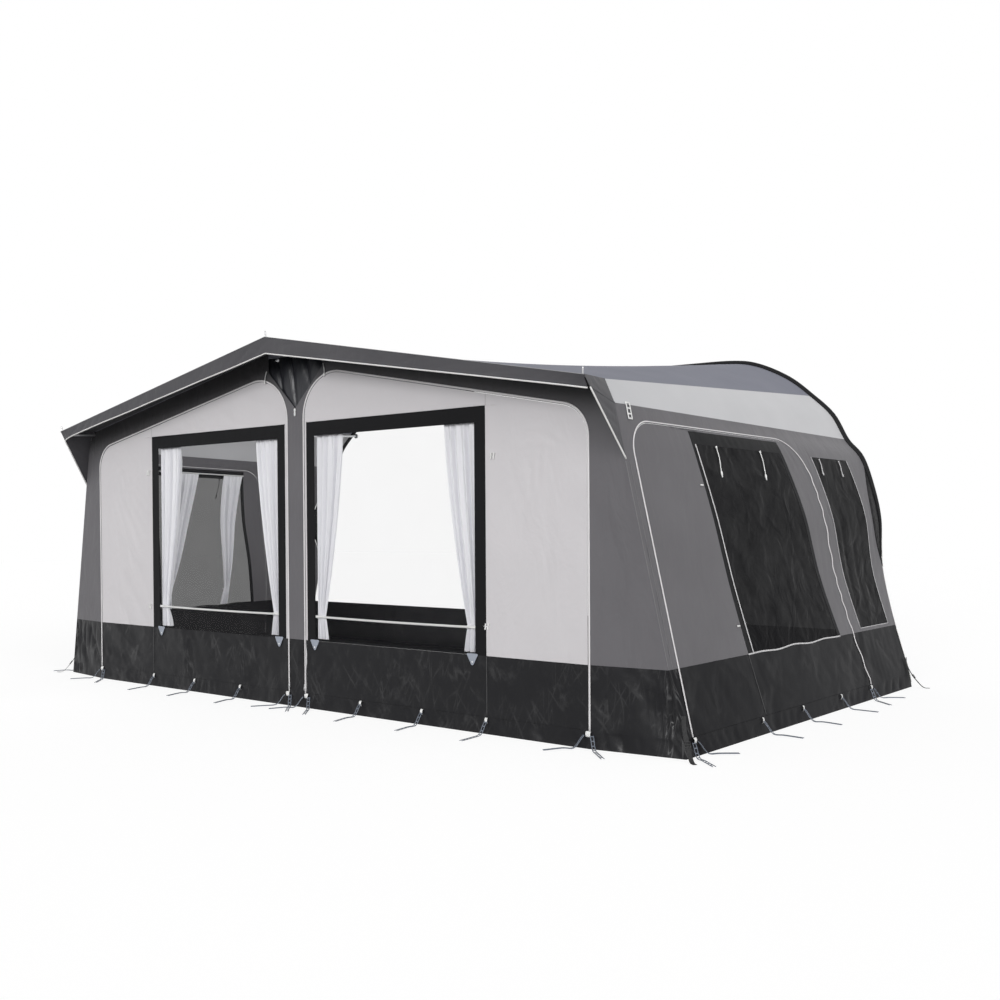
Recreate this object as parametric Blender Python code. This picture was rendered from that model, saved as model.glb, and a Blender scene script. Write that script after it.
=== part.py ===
"""Caravan awning: canvas tent on a telescopic pole frame that slides into the rail of a caravan.

Metres, +Z up. X runs across the front, -Y is the front, and the origin is on the ground
under the middle of the whole awning. The rail plane is at y = RAIL_Y, the front wall at
y = FRONT_Y. Each sheet of cloth is its own thin closed solid, a hair away from its neighbour.
"""
import math

import bmesh
import bpy
import numpy as np
from mathutils import Vector
from mathutils.geometry import delaunay_2d_cdt

# Gaps, thicknesses and the fineness of the mesh
GAP = 0.0003
CLOTH = 0.003
FILM = 0.002
SEAM_GAP = 0.001
LATTICE = 0.34
ARC_STEPS = 6
SIDES = 12
ROD_SIDES = 8
BEAD_SIDES = 6
ROOF_COLUMNS = 12
DROP_COLUMNS = 2
ROOF_ROWS = 6
TRACK_SPANS = 3

# Overall sizes
DEPTH = 3.00
EAVE_REACH = 0.25
BEAD_R = 0.0045
REAR_REACH = GAP + 2 * BEAD_R
RAIL_Y = (DEPTH + EAVE_REACH - REAR_REACH) / 2
FRONT_Y = RAIL_Y - DEPTH
EAVE_Y = FRONT_Y - EAVE_REACH

RAIL_Z = 2.448
REAR_HALF = 3.077
FRONT_HALF = 2.697
SEAM_Z = 1.785
SEAM_HALF = 2.330
SETBACK = 0.065
CREASE_IN = 0.057
CREASE_HALF = SEAM_HALF - CREASE_IN
FRONT_DROP = 0.126
REAR_CREASE_SHARE = 0.5173
CREASE_Z = SEAM_Z + FRONT_DROP
REAR_CREASE_Z = SEAM_Z + (RAIL_Z - SEAM_Z) * REAR_CREASE_SHARE
APEX_Z = 2.358
EAVE_FALL = 0.008
EAVE_APEX_Z = APEX_Z - EAVE_FALL
EAVE_FLARE = 0.032
EAVE_HALF = CREASE_HALF + EAVE_FLARE
EAVE_END_FALL = 0.011
EAVE_Z = CREASE_Z - EAVE_END_FALL
VALANCE_APEX = 0.100
VALANCE_END = 0.060
GUSSET_FOOT_Z = 1.497

# Front wall: zips, window, dark lower wall
ZIP_IN = 0.083
ZIP_OUT = 2.177
ZIP_GAP = 0.002
HINGE_GAP = 0.0005
SKIRT_TOP = 0.095
MUD_TOP = 0.437
ARCH_OUT_Z = 1.7685
ARCH_IN_Z = 2.189
ARCH_OUT_R = 0.18
ARCH_IN_R = 0.27
WINDOW_LAP = 0.017
WINDOW_IN = ZIP_IN + WINDOW_LAP
WINDOW_OUT = 1.522
WINDOW_TOP = 1.834
BORDER_IN = 0.072
BORDER_OUT = 0.077
BORDER_TOP = 0.092
PANE_IN = WINDOW_IN + BORDER_IN
PANE_OUT = WINDOW_OUT - BORDER_OUT
PANE_TOP = WINDOW_TOP - BORDER_TOP
VENT_Z = 1.930
VENT_HALF = 0.250
VENT_TOP = 2.180
VENT_NET_LAP = 0.020

# Side walls, with y measured forward from the rail
HINGE_BACK = 0.100
HINGE_OUT = 0.014
DOOR_TOP = 1.700
DOOR_REAR_FOOT = 0.680
DOOR_REAR_TOP = 1.022
DOOR_FRONT_R = 0.17
DOOR_REAR_R = 0.33
SIDE_BORDER_TOP = 1.685
SIDE_BORDER_FRONT_TOP = 2.335
SIDE_BORDER_FRONT_FOOT = 2.143
SIDE_BORDER_REAR_TOP = 1.290
SIDE_BORDER_REAR_FOOT = 0.930
SIDE_PANE_TOP = 1.612
SIDE_PANE_FRONT_TOP = 2.290
SIDE_PANE_FRONT_FOOT = 2.085
SIDE_PANE_REAR_TOP = 1.310
SIDE_PANE_REAR_FOOT = 0.970
REAR_PANE_TOP = 1.610
REAR_PANE_FRONT_TOP = 0.870
REAR_PANE_FRONT_FOOT = 0.602
REAR_PANE_REAR_TOP = 0.325
REAR_PANE_REAR_FOOT = 0.125
REAR_PANE_FOOT = 0.460
PAD_TOP = 1.660
PAD_FOOT = 0.850
PAD_WIDTH = 0.150
PAD_THICK = 0.030
DRAUGHT_SKIRT_TOP = 0.380

# The rail's profile from the roof's middle to the ground, as shares of REAR_HALF and RAIL_Z
RAIL_SHARES = [
    (0.000, 1.000), (0.285, 1.000), (0.447, 0.998), (0.571, 0.993), (0.638, 0.975),
    (0.713, 0.927), (0.769, 0.869), (0.821, 0.804), (0.855, 0.725), (0.890, 0.670),
    (0.916, 0.577), (0.931, 0.490), (0.933, 0.404), (0.938, 0.323), (0.963, 0.183),
    (0.993, 0.050), (1.000, 0.000),
]
RAIL_STEPS = 6

# Pole frame
POLE_R = 0.0130
POLE_WALL = 0.0015
INNER_R = 0.0110
CORNER_POLE_INSET = 0.050
CORNER_POLE_BACK = 0.048
UPRIGHT_JOIN_Z = 1.050
INSERT = 0.350
FOOT_R = 0.030
FOOT_T = 0.008
FOOT_NECK = 0.012
FOOT_BEND = 0.024
FRONT_POLE_INSET = CLOTH + GAP + FOOT_R
ROOF_POLE_DROP = 0.0195
ROOF_POLE_TIP = 0.030
ROOF_POLE_JOIN = 1.250
ROOF_POLE_END = 0.004
ROOF_POLE_END_IN = 0.033
ROOF_POLE_END_DROP = 0.027
RIDGE_DROP = 0.021
RIDGE_END_DROP = 0.031
END_PAD_R = 0.024
END_PAD_T = 0.014
BRACKET_W = 0.056
BRACKET_H = 0.060
BRACKET_T = 0.040
GABLE_LAP = 0.006
COLLAR_R = 0.020
COLLAR_GRIP_R = 0.022
COLLAR_LENGTH = 0.060
COLLAR_LIP = 0.012

# Curtains, tracks and rods
CURTAIN_GAP = 0.021
CURTAIN_T = 0.005
FOLDS = 5
FOLD_STEPS = 4
FOLD_DEPTH = 0.013
CURTAIN_TOP_W = 0.235
CURTAIN_TIE_W = 0.070
CURTAIN_TAIL_W = 0.095
TIE_Z = 0.590
TAIL_Z = 0.448
TRACK_LIFT = 0.048
TRACK_Z = PANE_TOP + TRACK_LIFT
TRACK_H = 0.012
TRACK_T = 0.030
ROD_Z = 0.592
ROD_R = 0.006
ROD_LAP = 0.030
SIDE_TRACK_LIFT = 0.028
SIDE_TRACK_Z = SIDE_PANE_TOP + SIDE_TRACK_LIFT
SIDE_CURTAIN_W = 0.250

# A curtain's rows: how far down, how far drawn to the tie, and how deep the folds are.
# In the first two, 0 is the track, 1 the tie and 2 the tail.
CURTAIN_SHARES = [
    (0.00, 0.00, 1.00), (0.35, 0.16, 1.00), (0.70, 0.50, 0.90), (0.90, 0.72, 0.80),
    (1.00, 1.00, 0.55), (1.50, 1.50, 0.80), (2.00, 2.00, 0.90),
]

# Zip sliders, peg ladders and corner straps
SLIDER_W = 0.012
SLIDER_T = 0.006
SLIDER_H = 0.026
SLIDER_Z = 0.125
LADDER_W = 0.014
LADDER_T = 0.003
LADDER_TOP = 0.085
LADDER_BEND = 0.070
LADDER_KNEE = 0.028
LADDER_REACH = 0.225
LADDER_SPLAY = math.radians(42)
LOOP_W = 0.018
PAIR_LOOP_W = 0.045
LOOP_T = 0.010
LOOP_FOOT = 0.070
LOOP_TOP = 0.092
FRONT_LADDERS = (0.560, 1.050, 1.520)
SIDE_LADDERS = (2.142, 1.660, 1.140)
STRAP_W = 0.025
STRAP_T = 0.002
STRAP_TOP = 0.150
STRAP_REACH = 0.110
STRAP_TAIL = 0.160


def smooth_curve(points, steps):
    """Catmull-Rom curve through the points, with the given steps on each span."""
    points = [np.array(p, float) for p in points]
    points = [2 * points[0] - points[1]] + points + [2 * points[-1] - points[-2]]
    curve = []
    for a, b, c, d in zip(points, points[1:], points[2:], points[3:]):
        for k in range(steps):
            t = k / steps
            curve.append(0.5 * (2 * b + (c - a) * t + (2 * a - 5 * b + 4 * c - d) * t ** 2
                                + (3 * b - a - 3 * c + d) * t ** 3))
    return np.array(curve + [points[-2]])


RAIL = smooth_curve([(x * REAR_HALF, z * RAIL_Z) for x, z in RAIL_SHARES], RAIL_STEPS)


def rail_x(z):
    """Half width of the rail's profile at a height, below the roof's crease."""
    return float(np.interp(z, RAIL[::-1, 1], RAIL[::-1, 0]))


def rail_z(x):
    """Height of the rail's profile at a distance from the middle, on the roof."""
    return float(np.interp(x, RAIL[:, 0], RAIL[:, 1]))


REAR_CREASE_HALF = rail_x(REAR_CREASE_Z)


def mix(a, b, share):
    return a + (b - a) * share


def corner_x(z):
    """The front corner's edge: it leans in from the ground to the seam, then to the crease."""
    if z <= SEAM_Z:
        return mix(FRONT_HALF, SEAM_HALF, z / SEAM_Z)
    return mix(SEAM_HALF, CREASE_HALF, (z - SEAM_Z) / (CREASE_Z - SEAM_Z))


def corner_y(z):
    return FRONT_Y + SETBACK * max(0, 1 - z / SEAM_Z)


def hinge_point(z):
    """The straight zip line that a side door swings about."""
    return Vector((corner_x(z) + HINGE_OUT, corner_y(z) + HINGE_BACK, z))


def roof_front_z(x):
    """Height of the roof cloth over the front wall."""
    return mix(APEX_Z, CREASE_Z, abs(x) / CREASE_HALF)


def side_x(y, z):
    """Half width of the side wall: flat to the hinge, then ruled from it to the rail."""
    hinge = hinge_point(z)
    if y < hinge.y:
        return mix(corner_x(z), hinge.x, (y - corner_y(z)) / HINGE_BACK)
    return mix(hinge.x, rail_x(z), (y - hinge.y) / (RAIL_Y - hinge.y))


def front_map(thick, behind=0.0):
    """Front wall: (x, z) to its outer and inner points, bent back towards the corners."""
    def place(x, z):
        share = max(0, abs(x) - ZIP_OUT) / (corner_x(z) - ZIP_OUT)
        y = mix(FRONT_Y, corner_y(z), share) + behind
        return (x, y, z), (x, y + thick, z)
    return place


def side_map(side, thick, behind=0.0):
    """Side wall: (y, z) to its outer and inner points, on the right (1) or the left (-1)."""
    def place(y, z):
        x = side_x(y, z) - behind
        return (side * x, y, z), (side * (x - thick), y, z)
    return place


def rounded(corners, steps=ARC_STEPS):
    """A polygon whose corners (a, b, radius) are rounded by arcs."""
    outline = []
    count = len(corners)
    for i, (a, b, radius) in enumerate(corners):
        here = Vector((a, b))
        if not radius:
            outline.append(here)
            continue
        back = (Vector(corners[i - 1][:2]) - here).normalized()
        ahead = (Vector(corners[(i + 1) % count][:2]) - here).normalized()
        half = back.angle(ahead) / 2
        centre = here + (back + ahead).normalized() * radius / math.sin(half)
        first = here + back * radius / math.tan(half) - centre
        turn = first.angle_signed(here + ahead * radius / math.tan(half) - centre)
        for k in range(steps + 1):
            spin = -turn * k / steps
            outline.append(centre + Vector((first.x * math.cos(spin) - first.y * math.sin(spin),
                                            first.x * math.sin(spin) + first.y * math.cos(spin))))
    return [(p.x, p.y) for p in outline]


def inside(point, outline):
    """True where a 2-D point is inside an outline."""
    x, y = point
    hits = 0
    for (ax, ay), (bx, by) in zip(outline, outline[1:] + outline[:1]):
        if (ay > y) != (by > y) and x < ax + (y - ay) * (bx - ax) / (by - ay):
            hits += 1
    return hits % 2 == 1


def split_edges(outline, step):
    points = []
    for a, b in zip(outline, outline[1:] + outline[:1]):
        count = max(1, math.ceil(math.dist(a, b) / step))
        points += [(mix(a[0], b[0], k / count), mix(a[1], b[1], k / count)) for k in range(count)]
    return points


def cleared(point, loops, margin):
    """True where a lattice point keeps a margin from every loop's points."""
    return all(math.dist(point, p) > margin for loop in loops for p in loop)


def plate(outline, place, holes=(), step=0.0):
    """A flat outline with holes, carried onto a surface and given its thickness."""
    loops = [list(outline)] + [list(hole) for hole in holes]
    if step:
        loops = [split_edges(loop, step) for loop in loops]
    points, edges = [], []
    for loop in loops:
        first = len(points)
        points += loop
        edges += [(first + k, first + (k + 1) % len(loop)) for k in range(len(loop))]
    if step:
        low, high = np.min(loops[0], axis=0), np.max(loops[0], axis=0)
        for a in np.arange(low[0] + step / 2, high[0], step):
            for b in np.arange(low[1] + step / 2, high[1], step):
                if inside((a, b), loops[0]) and cleared((a, b), loops, step / 3):
                    points.append((a, b))
    flat, _, faces, *_ = delaunay_2d_cdt([Vector(p) for p in points], edges, [], 0, GAP / 100)
    flat = [(p.x, p.y) for p in flat]
    faces = [f for f in faces if in_plate(f, flat, loops)]
    return thicken(flat, faces, place)


def in_plate(face, flat, loops):
    centre = np.mean([flat[i] for i in face], axis=0)
    return inside(centre, loops[0]) and not any(inside(centre, hole) for hole in loops[1:])


def thicken(flat, faces, place):
    """Two skins, joined along every open edge."""
    used = sorted({i for f in faces for i in f})
    index = {old: new for new, old in enumerate(used)}
    pairs = [place(*flat[i]) for i in used]
    count = len(used)
    skin = [tuple(index[i] for i in f) for f in faces]
    directed = {(f[k], f[(k + 1) % len(f)]) for f in skin for k in range(len(f))}
    rim = [(a, b) for a, b in directed if (b, a) not in directed]
    solid = skin + [tuple(i + count for i in reversed(f)) for f in skin]
    solid += [(b, a, a + count, b + count) for a, b in rim]
    return [p[0] for p in pairs] + [p[1] for p in pairs], solid


def grid_sheet(columns, rows, place):
    """A sheet on a grid: place(column, row) gives the outer and the inner point.

    Both skins are split along the same diagonals, so that they keep apart where they twist.
    """
    points = [(c, r) for r in range(rows + 1) for c in range(columns + 1)]
    faces = []
    for r in range(rows):
        for c in range(columns):
            a = r * (columns + 1) + c
            faces += [(a, a + 1, a + columns + 2), (a, a + columns + 2, a + columns + 1)]
    return thicken(points, faces, place)


def loft(rings, closed=False):
    """A solid through rings of points: capped at both ends, or closed on itself."""
    count = len(rings[0])
    points = [tuple(p) for ring in rings for p in ring]
    faces = []
    spans = len(rings) if closed else len(rings) - 1
    for r in range(spans):
        low, high = r * count, ((r + 1) % len(rings)) * count
        faces += [(low + k, low + (k + 1) % count, high + (k + 1) % count, high + k)
                  for k in range(count)]
    if not closed:
        faces += [tuple(range(count)), tuple(range(len(points) - count, len(points)))]
    return points, faces


def ring(centre, axis, radius, sides=SIDES):
    axis = Vector(axis).normalized()
    across = axis.cross(Vector((0, 1, 0)) if abs(axis.y) < abs(axis.z) else Vector((0, 0, 1)))
    across.normalize()
    up = axis.cross(across)
    return [Vector(centre) + across * radius * math.cos(math.tau * k / sides)
            + up * radius * math.sin(math.tau * k / sides) for k in range(sides)]


def tube(start, end, radius, wall):
    """A hollow pole, open at both ends."""
    axis = Vector(end) - Vector(start)
    return loft([ring(start, axis, radius), ring(end, axis, radius),
                 ring(end, axis, radius - wall), ring(start, axis, radius - wall)], closed=True)


def swept(path, radius, sides):
    """A round cord along a path."""
    path = [Vector(p) for p in path]
    rings = []
    for i, point in enumerate(path):
        axis = path[min(i + 1, len(path) - 1)] - path[max(i - 1, 0)]
        rings.append(ring(point, axis, radius, sides))
    return loft(rings)


def block(low, high):
    (ax, ay, az), (bx, by, bz) = low, high
    foot = [(ax, ay, az), (bx, ay, az), (bx, by, az), (ax, by, az)]
    return loft([foot, [(x, y, bz) for x, y, _ in foot]])


def mirrored(solid):
    points, faces = solid
    return [(-p[0], p[1], p[2]) for p in points], faces


def material(name, colour, roughness, metallic=0.0, alpha=1.0):
    mat = bpy.data.materials.new(name)
    mat.use_nodes = True
    shader = mat.node_tree.nodes["Principled BSDF"]
    shader.inputs["Base Color"].default_value = (*colour, 1)
    shader.inputs["Roughness"].default_value = roughness
    shader.inputs["Metallic"].default_value = metallic
    shader.inputs["Alpha"].default_value = alpha
    mat.diffuse_color = (*colour, alpha)
    return mat


def mesh_object(name, solids, origin):
    """A mesh object made of closed solids given in world coordinates."""
    points, faces = [], []
    for solid_points, solid_faces in solids:
        first = len(points)
        points += [Vector(p) - origin for p in solid_points]
        faces += [tuple(first + i for i in f) for f in solid_faces]
    mesh = bpy.data.meshes.new(name)
    mesh.from_pydata(points, [], faces)
    shape = bmesh.new()
    shape.from_mesh(mesh)
    bmesh.ops.recalc_face_normals(shape, faces=shape.faces)
    shape.to_mesh(mesh)
    shape.free()
    item = bpy.data.objects.new(name, mesh)
    item.location = origin
    bpy.context.scene.collection.objects.link(item)
    return item


def node(name, solid, mat, origin=(0, 0, 0), smooth=False, fused=()):
    """One named object with its origin on its joint's axis, joined to any fused pieces."""
    origin = Vector(origin)
    item = mesh_object(name, [solid], origin)
    if smooth:
        item.data.shade_smooth()
        item.data.set_sharp_from_angle(angle=math.radians(40))
    item.data.materials.append(mat)
    if fused:
        helper = mesh_object(name + "_fused", fused, origin)
        helper.hide_render = True
        helper.display_type = "WIRE"
        join = item.modifiers.new("join", "BOOLEAN")
        join.operation = "UNION"
        join.use_self = True
        join.object = helper
    return item


def clear_scene():
    for item in list(bpy.data.objects):
        bpy.data.objects.remove(item)


def make_materials():
    return {
        "roof": material("roof_canvas", (0.48, 0.49, 0.52), 0.6),
        "grey": material("grey_canvas", (0.14, 0.135, 0.14), 0.7),
        "dark": material("visor_canvas", (0.12, 0.12, 0.125), 0.7),
        "light": material("light_canvas", (0.60, 0.58, 0.60), 0.7),
        "mud": material("dark_pvc", (0.025, 0.026, 0.03), 0.45),
        "film": material("window_film", (0.55, 0.57, 0.58), 0.08, alpha=0.35),
        "net": material("vent_net", (0.05, 0.05, 0.055), 0.8),
        "pad": material("quilted_pad", (0.02, 0.02, 0.022), 0.35),
        "satin": material("curtain_satin", (0.80, 0.80, 0.83), 0.5),
        "white": material("white_plastic", (0.75, 0.75, 0.73), 0.4),
        "alu": material("pole_aluminium", (0.62, 0.63, 0.64), 0.35, 1.0),
        "black": material("black_plastic", (0.03, 0.03, 0.03), 0.5),
    }


def roof_line():
    """The roof's front and rear edges from the right seam over the ridge to the left one.

    Each entry is (front point, rear point, share of the cloth's thickness in x and in z).
    """
    half = []
    for k in range(1, ROOF_COLUMNS):
        share = k / ROOF_COLUMNS
        x, rear = CREASE_HALF * share, REAR_CREASE_HALF * share
        half.append(((x, FRONT_Y + GAP / 2, roof_front_z(x)), (rear, RAIL_Y, rail_z(rear)), 0, 1))
    drop_y = FRONT_Y + CLOTH + GAP
    for k in range(DROP_COLUMNS + 1):
        share = k / DROP_COLUMNS
        z, rear = mix(CREASE_Z, SEAM_Z + GAP, share), mix(REAR_CREASE_Z, SEAM_Z + GAP, share)
        half.append(((corner_x(z), drop_y, z), (rail_x(rear), RAIL_Y, rear), 1, 1 if k == 0 else 0))
    middle = ((0, FRONT_Y + GAP / 2, APEX_Z), (0, RAIL_Y, RAIL_Z), 0, 1)
    left = [((-f[0], *f[1:]), (-r[0], *r[1:]), -a, b) for f, r, a, b in half]
    return list(reversed(half)) + [middle] + left


def make_roof(mats):
    """Roof cloth from seam to seam, and the bead that slides into the caravan's rail."""
    line = roof_line()

    def place(column, row):
        front, rear, in_x, in_z = line[column]
        outer = Vector(front).lerp(Vector(rear), row / ROOF_ROWS)
        return tuple(outer), tuple(outer - Vector((in_x, 0, in_z)) * CLOTH)
    node("roof", grid_sheet(len(line) - 1, ROOF_ROWS, place), mats["roof"])

    bead_y = RAIL_Y + GAP + BEAD_R
    inset = CLOTH / 2
    right = [(x - inset * (x > CREASE_HALF), bead_y, z - inset) for x, z in RAIL[::2] if z > BEAD_R]
    path = [(-x, y, z) for x, y, z in reversed(right[1:])] + right
    node("rail_bead", swept(path, BEAD_R, BEAD_SIDES), mats["white"])


def make_visor(mats):
    """The dark visor with its valance, and the gussets that close its ends."""
    def section(s):
        eave_x, wall_x = EAVE_HALF * s, CREASE_HALF * s
        eave_z, wall_z = mix(EAVE_APEX_Z, EAVE_Z, abs(s)), roof_front_z(wall_x)
        wall_y = FRONT_Y - GAP / 2
        foot_z = eave_z - mix(VALANCE_APEX, VALANCE_END, abs(s))
        return [(wall_x, wall_y, wall_z), (eave_x, EAVE_Y, eave_z), (eave_x, EAVE_Y, foot_z),
                (eave_x, EAVE_Y + CLOTH, foot_z), (eave_x, EAVE_Y + CLOTH, eave_z - CLOTH),
                (wall_x, wall_y, wall_z - CLOTH)]
    node("visor", loft([section(s) for s in (-1, 0, 1)]), mats["dark"])

    wall_y = FRONT_Y - GAP
    outline = [(EAVE_Y, EAVE_Z), (EAVE_Y, EAVE_Z - VALANCE_END), (wall_y, GUSSET_FOOT_Z),
               (wall_y, SEAM_Z), (wall_y, CREASE_Z)]

    def place(y, z):
        share = (y - EAVE_Y) / EAVE_REACH
        x = mix(EAVE_HALF, corner_x(z), share) + CLOTH + SEAM_GAP
        return (x, y, z), (x - CLOTH, y, z)
    gusset = plate(outline, place)
    node("visor_gusset_right", gusset, mats["dark"])
    node("visor_gusset_left", mirrored(gusset), mats["dark"])


def front_door_arch(inset, hinge_inset):
    """The arch of the right-hand front opening, or with insets that of the panel in it."""
    low, high = ZIP_IN + inset, ZIP_OUT - hinge_inset
    corners = [(high, MUD_TOP, 0), (high, ARCH_OUT_Z - inset, ARCH_OUT_R - inset),
               (low, ARCH_IN_Z - inset, ARCH_IN_R - inset), (low, MUD_TOP, 0)]
    return rounded(corners)[1:-1]


def make_front_fixed(mats):
    """The fixed front canvas round the two zip-out panels, with its vent and the net behind."""
    arch = front_door_arch(0, 0)
    top = CLOTH + SEAM_GAP
    foot = MUD_TOP + GAP
    notch_x = CREASE_HALF - ROOF_POLE_DROP - 2 * POLE_R
    notch_z = CREASE_Z - ROOF_POLE_DROP - 2 * POLE_R
    right = [(ZIP_IN, foot)] + list(reversed(arch)) + [(ZIP_OUT, foot), (corner_x(foot), foot)]
    right += [(SEAM_HALF, SEAM_Z), (corner_x(notch_z), notch_z), (notch_x, notch_z),
              (notch_x, roof_front_z(notch_x) - top), (VENT_HALF, roof_front_z(VENT_HALF) - top),
              (VENT_HALF, VENT_TOP)]
    left = [(-x, z) for x, z in reversed(right)]
    node("front_wall", plate(right + [(0, VENT_Z)] + left, front_map(CLOTH)), mats["grey"])

    lap = VENT_NET_LAP
    net_top = apex_bracket_foot() - GAP
    net = [(0, VENT_Z - lap), (VENT_HALF + lap, VENT_TOP - lap), (VENT_HALF + lap, net_top),
           (-VENT_HALF - lap, net_top), (-VENT_HALF - lap, VENT_TOP - lap)]
    node("vent_net", plate(net, front_map(FILM, CLOTH + GAP)), mats["net"])


def make_front_panel(mats, side, name):
    """One zip-out front panel: light canvas, dark window surround with its mudwall, clear film."""
    hinge = (side * ZIP_OUT, FRONT_Y, SKIRT_TOP)
    low, high = ZIP_IN + ZIP_GAP, ZIP_OUT - HINGE_GAP
    arch = front_door_arch(ZIP_GAP, HINGE_GAP)
    foot = MUD_TOP + GAP
    canvas = [(low, foot), (WINDOW_IN - GAP, foot), (WINDOW_IN - GAP, WINDOW_TOP + GAP),
              (WINDOW_OUT + GAP, WINDOW_TOP + GAP), (WINDOW_OUT + GAP, foot), (high, foot)] + arch
    surround = [(low, SKIRT_TOP + ZIP_GAP), (high, SKIRT_TOP + ZIP_GAP), (high, MUD_TOP),
                (WINDOW_OUT, MUD_TOP), (WINDOW_OUT, WINDOW_TOP), (WINDOW_IN, WINDOW_TOP),
                (WINDOW_IN, MUD_TOP), (low, MUD_TOP)]
    pane = rectangle(PANE_IN, MUD_TOP, PANE_OUT, PANE_TOP)
    film = rectangle(PANE_IN + GAP, MUD_TOP + GAP, PANE_OUT - GAP, PANE_TOP - GAP)
    wall = front_map(CLOTH)
    turn = mirrored if side < 0 else (lambda solid: solid)
    track = block((PANE_IN - ROD_LAP, FRONT_Y + CLOTH / 2, TRACK_Z),
                  (PANE_OUT + ROD_LAP, FRONT_Y + TRACK_T, TRACK_Z + TRACK_H))
    node("front_panel_" + name, turn(plate(canvas, wall)), mats["light"], hinge)
    node("front_window_surround_" + name, turn(plate(surround, wall, [pane])), mats["mud"], hinge,
         fused=[turn(track)])
    node("front_window_" + name, turn(plate(film, front_map(FILM))), mats["film"], hinge)

    rod_y = FRONT_Y + CLOTH + GAP + ROD_R
    rod = loft([ring((x, rod_y, ROD_Z), (1, 0, 0), ROD_R, ROD_SIDES)
                for x in (PANE_IN - ROD_LAP, PANE_OUT + ROD_LAP)])
    node("window_rod_" + name, turn(rod), mats["white"], hinge)


def rectangle(low_a, low_b, high_a, high_b):
    return [(low_a, low_b), (high_a, low_b), (high_a, high_b), (low_a, high_b)]


def staged(stops, stage):
    """A value between three stops: 0 is the first, 1 the second and 2 the third."""
    return float(np.interp(stage, range(len(stops)), stops))


def curtain(top, tie, tail, top_z, place):
    """A tied-back curtain: folds across, drawn in at the tie, flared below it.

    top, tie and tail are (start, end) along the track, and place(a, z, depth) puts a point
    that far along the track, at that height and that far in from the wall.
    """
    columns = FOLDS * FOLD_STEPS

    def spot(column, row):
        down, drawn, deep_share = CURTAIN_SHARES[row]
        low, high = (staged(ends, drawn) for ends in zip(top, tie, tail))
        along = mix(low, high, column / columns)
        z = staged((top_z, TIE_Z, TAIL_Z), down)
        wave = FOLD_DEPTH * deep_share * (1 - math.cos(math.tau * column / FOLD_STEPS))
        return place(along, z, wave), place(along, z, wave + CURTAIN_T)
    return grid_sheet(columns, len(CURTAIN_SHARES) - 1, spot)


def make_curtains(mats):
    """Four front curtains on the panels' tracks and two on the left side door."""
    near = FRONT_Y + CURTAIN_GAP

    def place(side):
        return lambda a, z, depth: (side * a, near + depth, z)
    top_z = TRACK_Z - GAP
    for side, name in ((-1, "left"), (1, "right")):
        inner = curtain((PANE_IN, PANE_IN + CURTAIN_TOP_W), (PANE_IN, PANE_IN + CURTAIN_TIE_W),
                        (PANE_IN, PANE_IN + CURTAIN_TAIL_W), top_z, place(side))
        outer = curtain((PANE_OUT - CURTAIN_TOP_W, PANE_OUT), (PANE_OUT - CURTAIN_TIE_W, PANE_OUT),
                        (PANE_OUT - CURTAIN_TAIL_W, PANE_OUT), top_z, place(side))
        node("curtain_inner_" + name, inner, mats["satin"], (side * PANE_IN, near, top_z), True)
        node("curtain_outer_" + name, outer, mats["satin"], (side * PANE_OUT, near, top_z), True)

    def beside(a, z, depth):
        y = RAIL_Y - a
        return -(side_x(y, z) - CURTAIN_GAP - depth), y, z
    side_top = SIDE_TRACK_Z - GAP
    front_edge, rear_edge = SIDE_PANE_FRONT_FOOT, SIDE_PANE_REAR_TOP
    front = curtain((front_edge - SIDE_CURTAIN_W, front_edge), (front_edge - CURTAIN_TIE_W, front_edge),
                    (front_edge - CURTAIN_TAIL_W, front_edge), side_top, beside)
    rear = curtain((rear_edge, rear_edge + SIDE_CURTAIN_W), (rear_edge, rear_edge + CURTAIN_TIE_W),
                   (rear_edge, rear_edge + CURTAIN_TAIL_W), side_top, beside)
    node("side_curtain_front", front, mats["satin"], beside(front_edge, side_top, 0), True)
    node("side_curtain_rear", rear, mats["satin"], beside(rear_edge, side_top, 0), True)


def side_door_outline(inset, hinge_inset):
    """The opening of a side door in (y, z), or with insets the panel that fills it."""
    foot_z, top_z = SKIRT_TOP + inset, DOOR_TOP - inset

    def rear_y(z):
        share = (z - SKIRT_TOP) / (DOOR_TOP - SKIRT_TOP)
        return RAIL_Y - mix(DOOR_REAR_FOOT, DOOR_REAR_TOP, share) - inset
    hinge_foot, hinge_top = hinge_point(foot_z), hinge_point(top_z)
    return rounded([(hinge_foot.y + hinge_inset, foot_z, 0), (rear_y(foot_z), foot_z, 0),
                    (rear_y(top_z), top_z, DOOR_REAR_R - inset),
                    (hinge_top.y + hinge_inset, top_z, DOOR_FRONT_R - inset)])


def between(start, end, z_start, z_end, z):
    """A place on a slanted edge, measured forward from the rail."""
    return RAIL_Y - mix(start, end, (z - z_start) / (z_end - z_start))


def side_quad(front_top, front_foot, rear_top, rear_foot, top, foot, inset=0.0):
    return [(RAIL_Y - front_foot + inset, foot + inset), (RAIL_Y - rear_foot - inset, foot + inset),
            (RAIL_Y - rear_top - inset, top - inset), (RAIL_Y - front_top + inset, top - inset)]


def above(outline, z):
    """An outline's part above a height, from its front cut over the top to its rear cut."""
    kept = []
    for (ay, az), (by, bz) in zip(outline, outline[1:] + outline[:1]):
        if (az >= z) != (bz >= z):
            kept.append((mix(ay, by, (z - az) / (bz - az)), z))
        if bz >= z:
            kept.append((by, bz))
    start = kept.index(min(p for p in kept if p[1] == z))
    kept = kept[start:] + kept[:start]
    return kept if kept[-1][1] == z else kept[:1] + kept[:0:-1]


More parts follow.
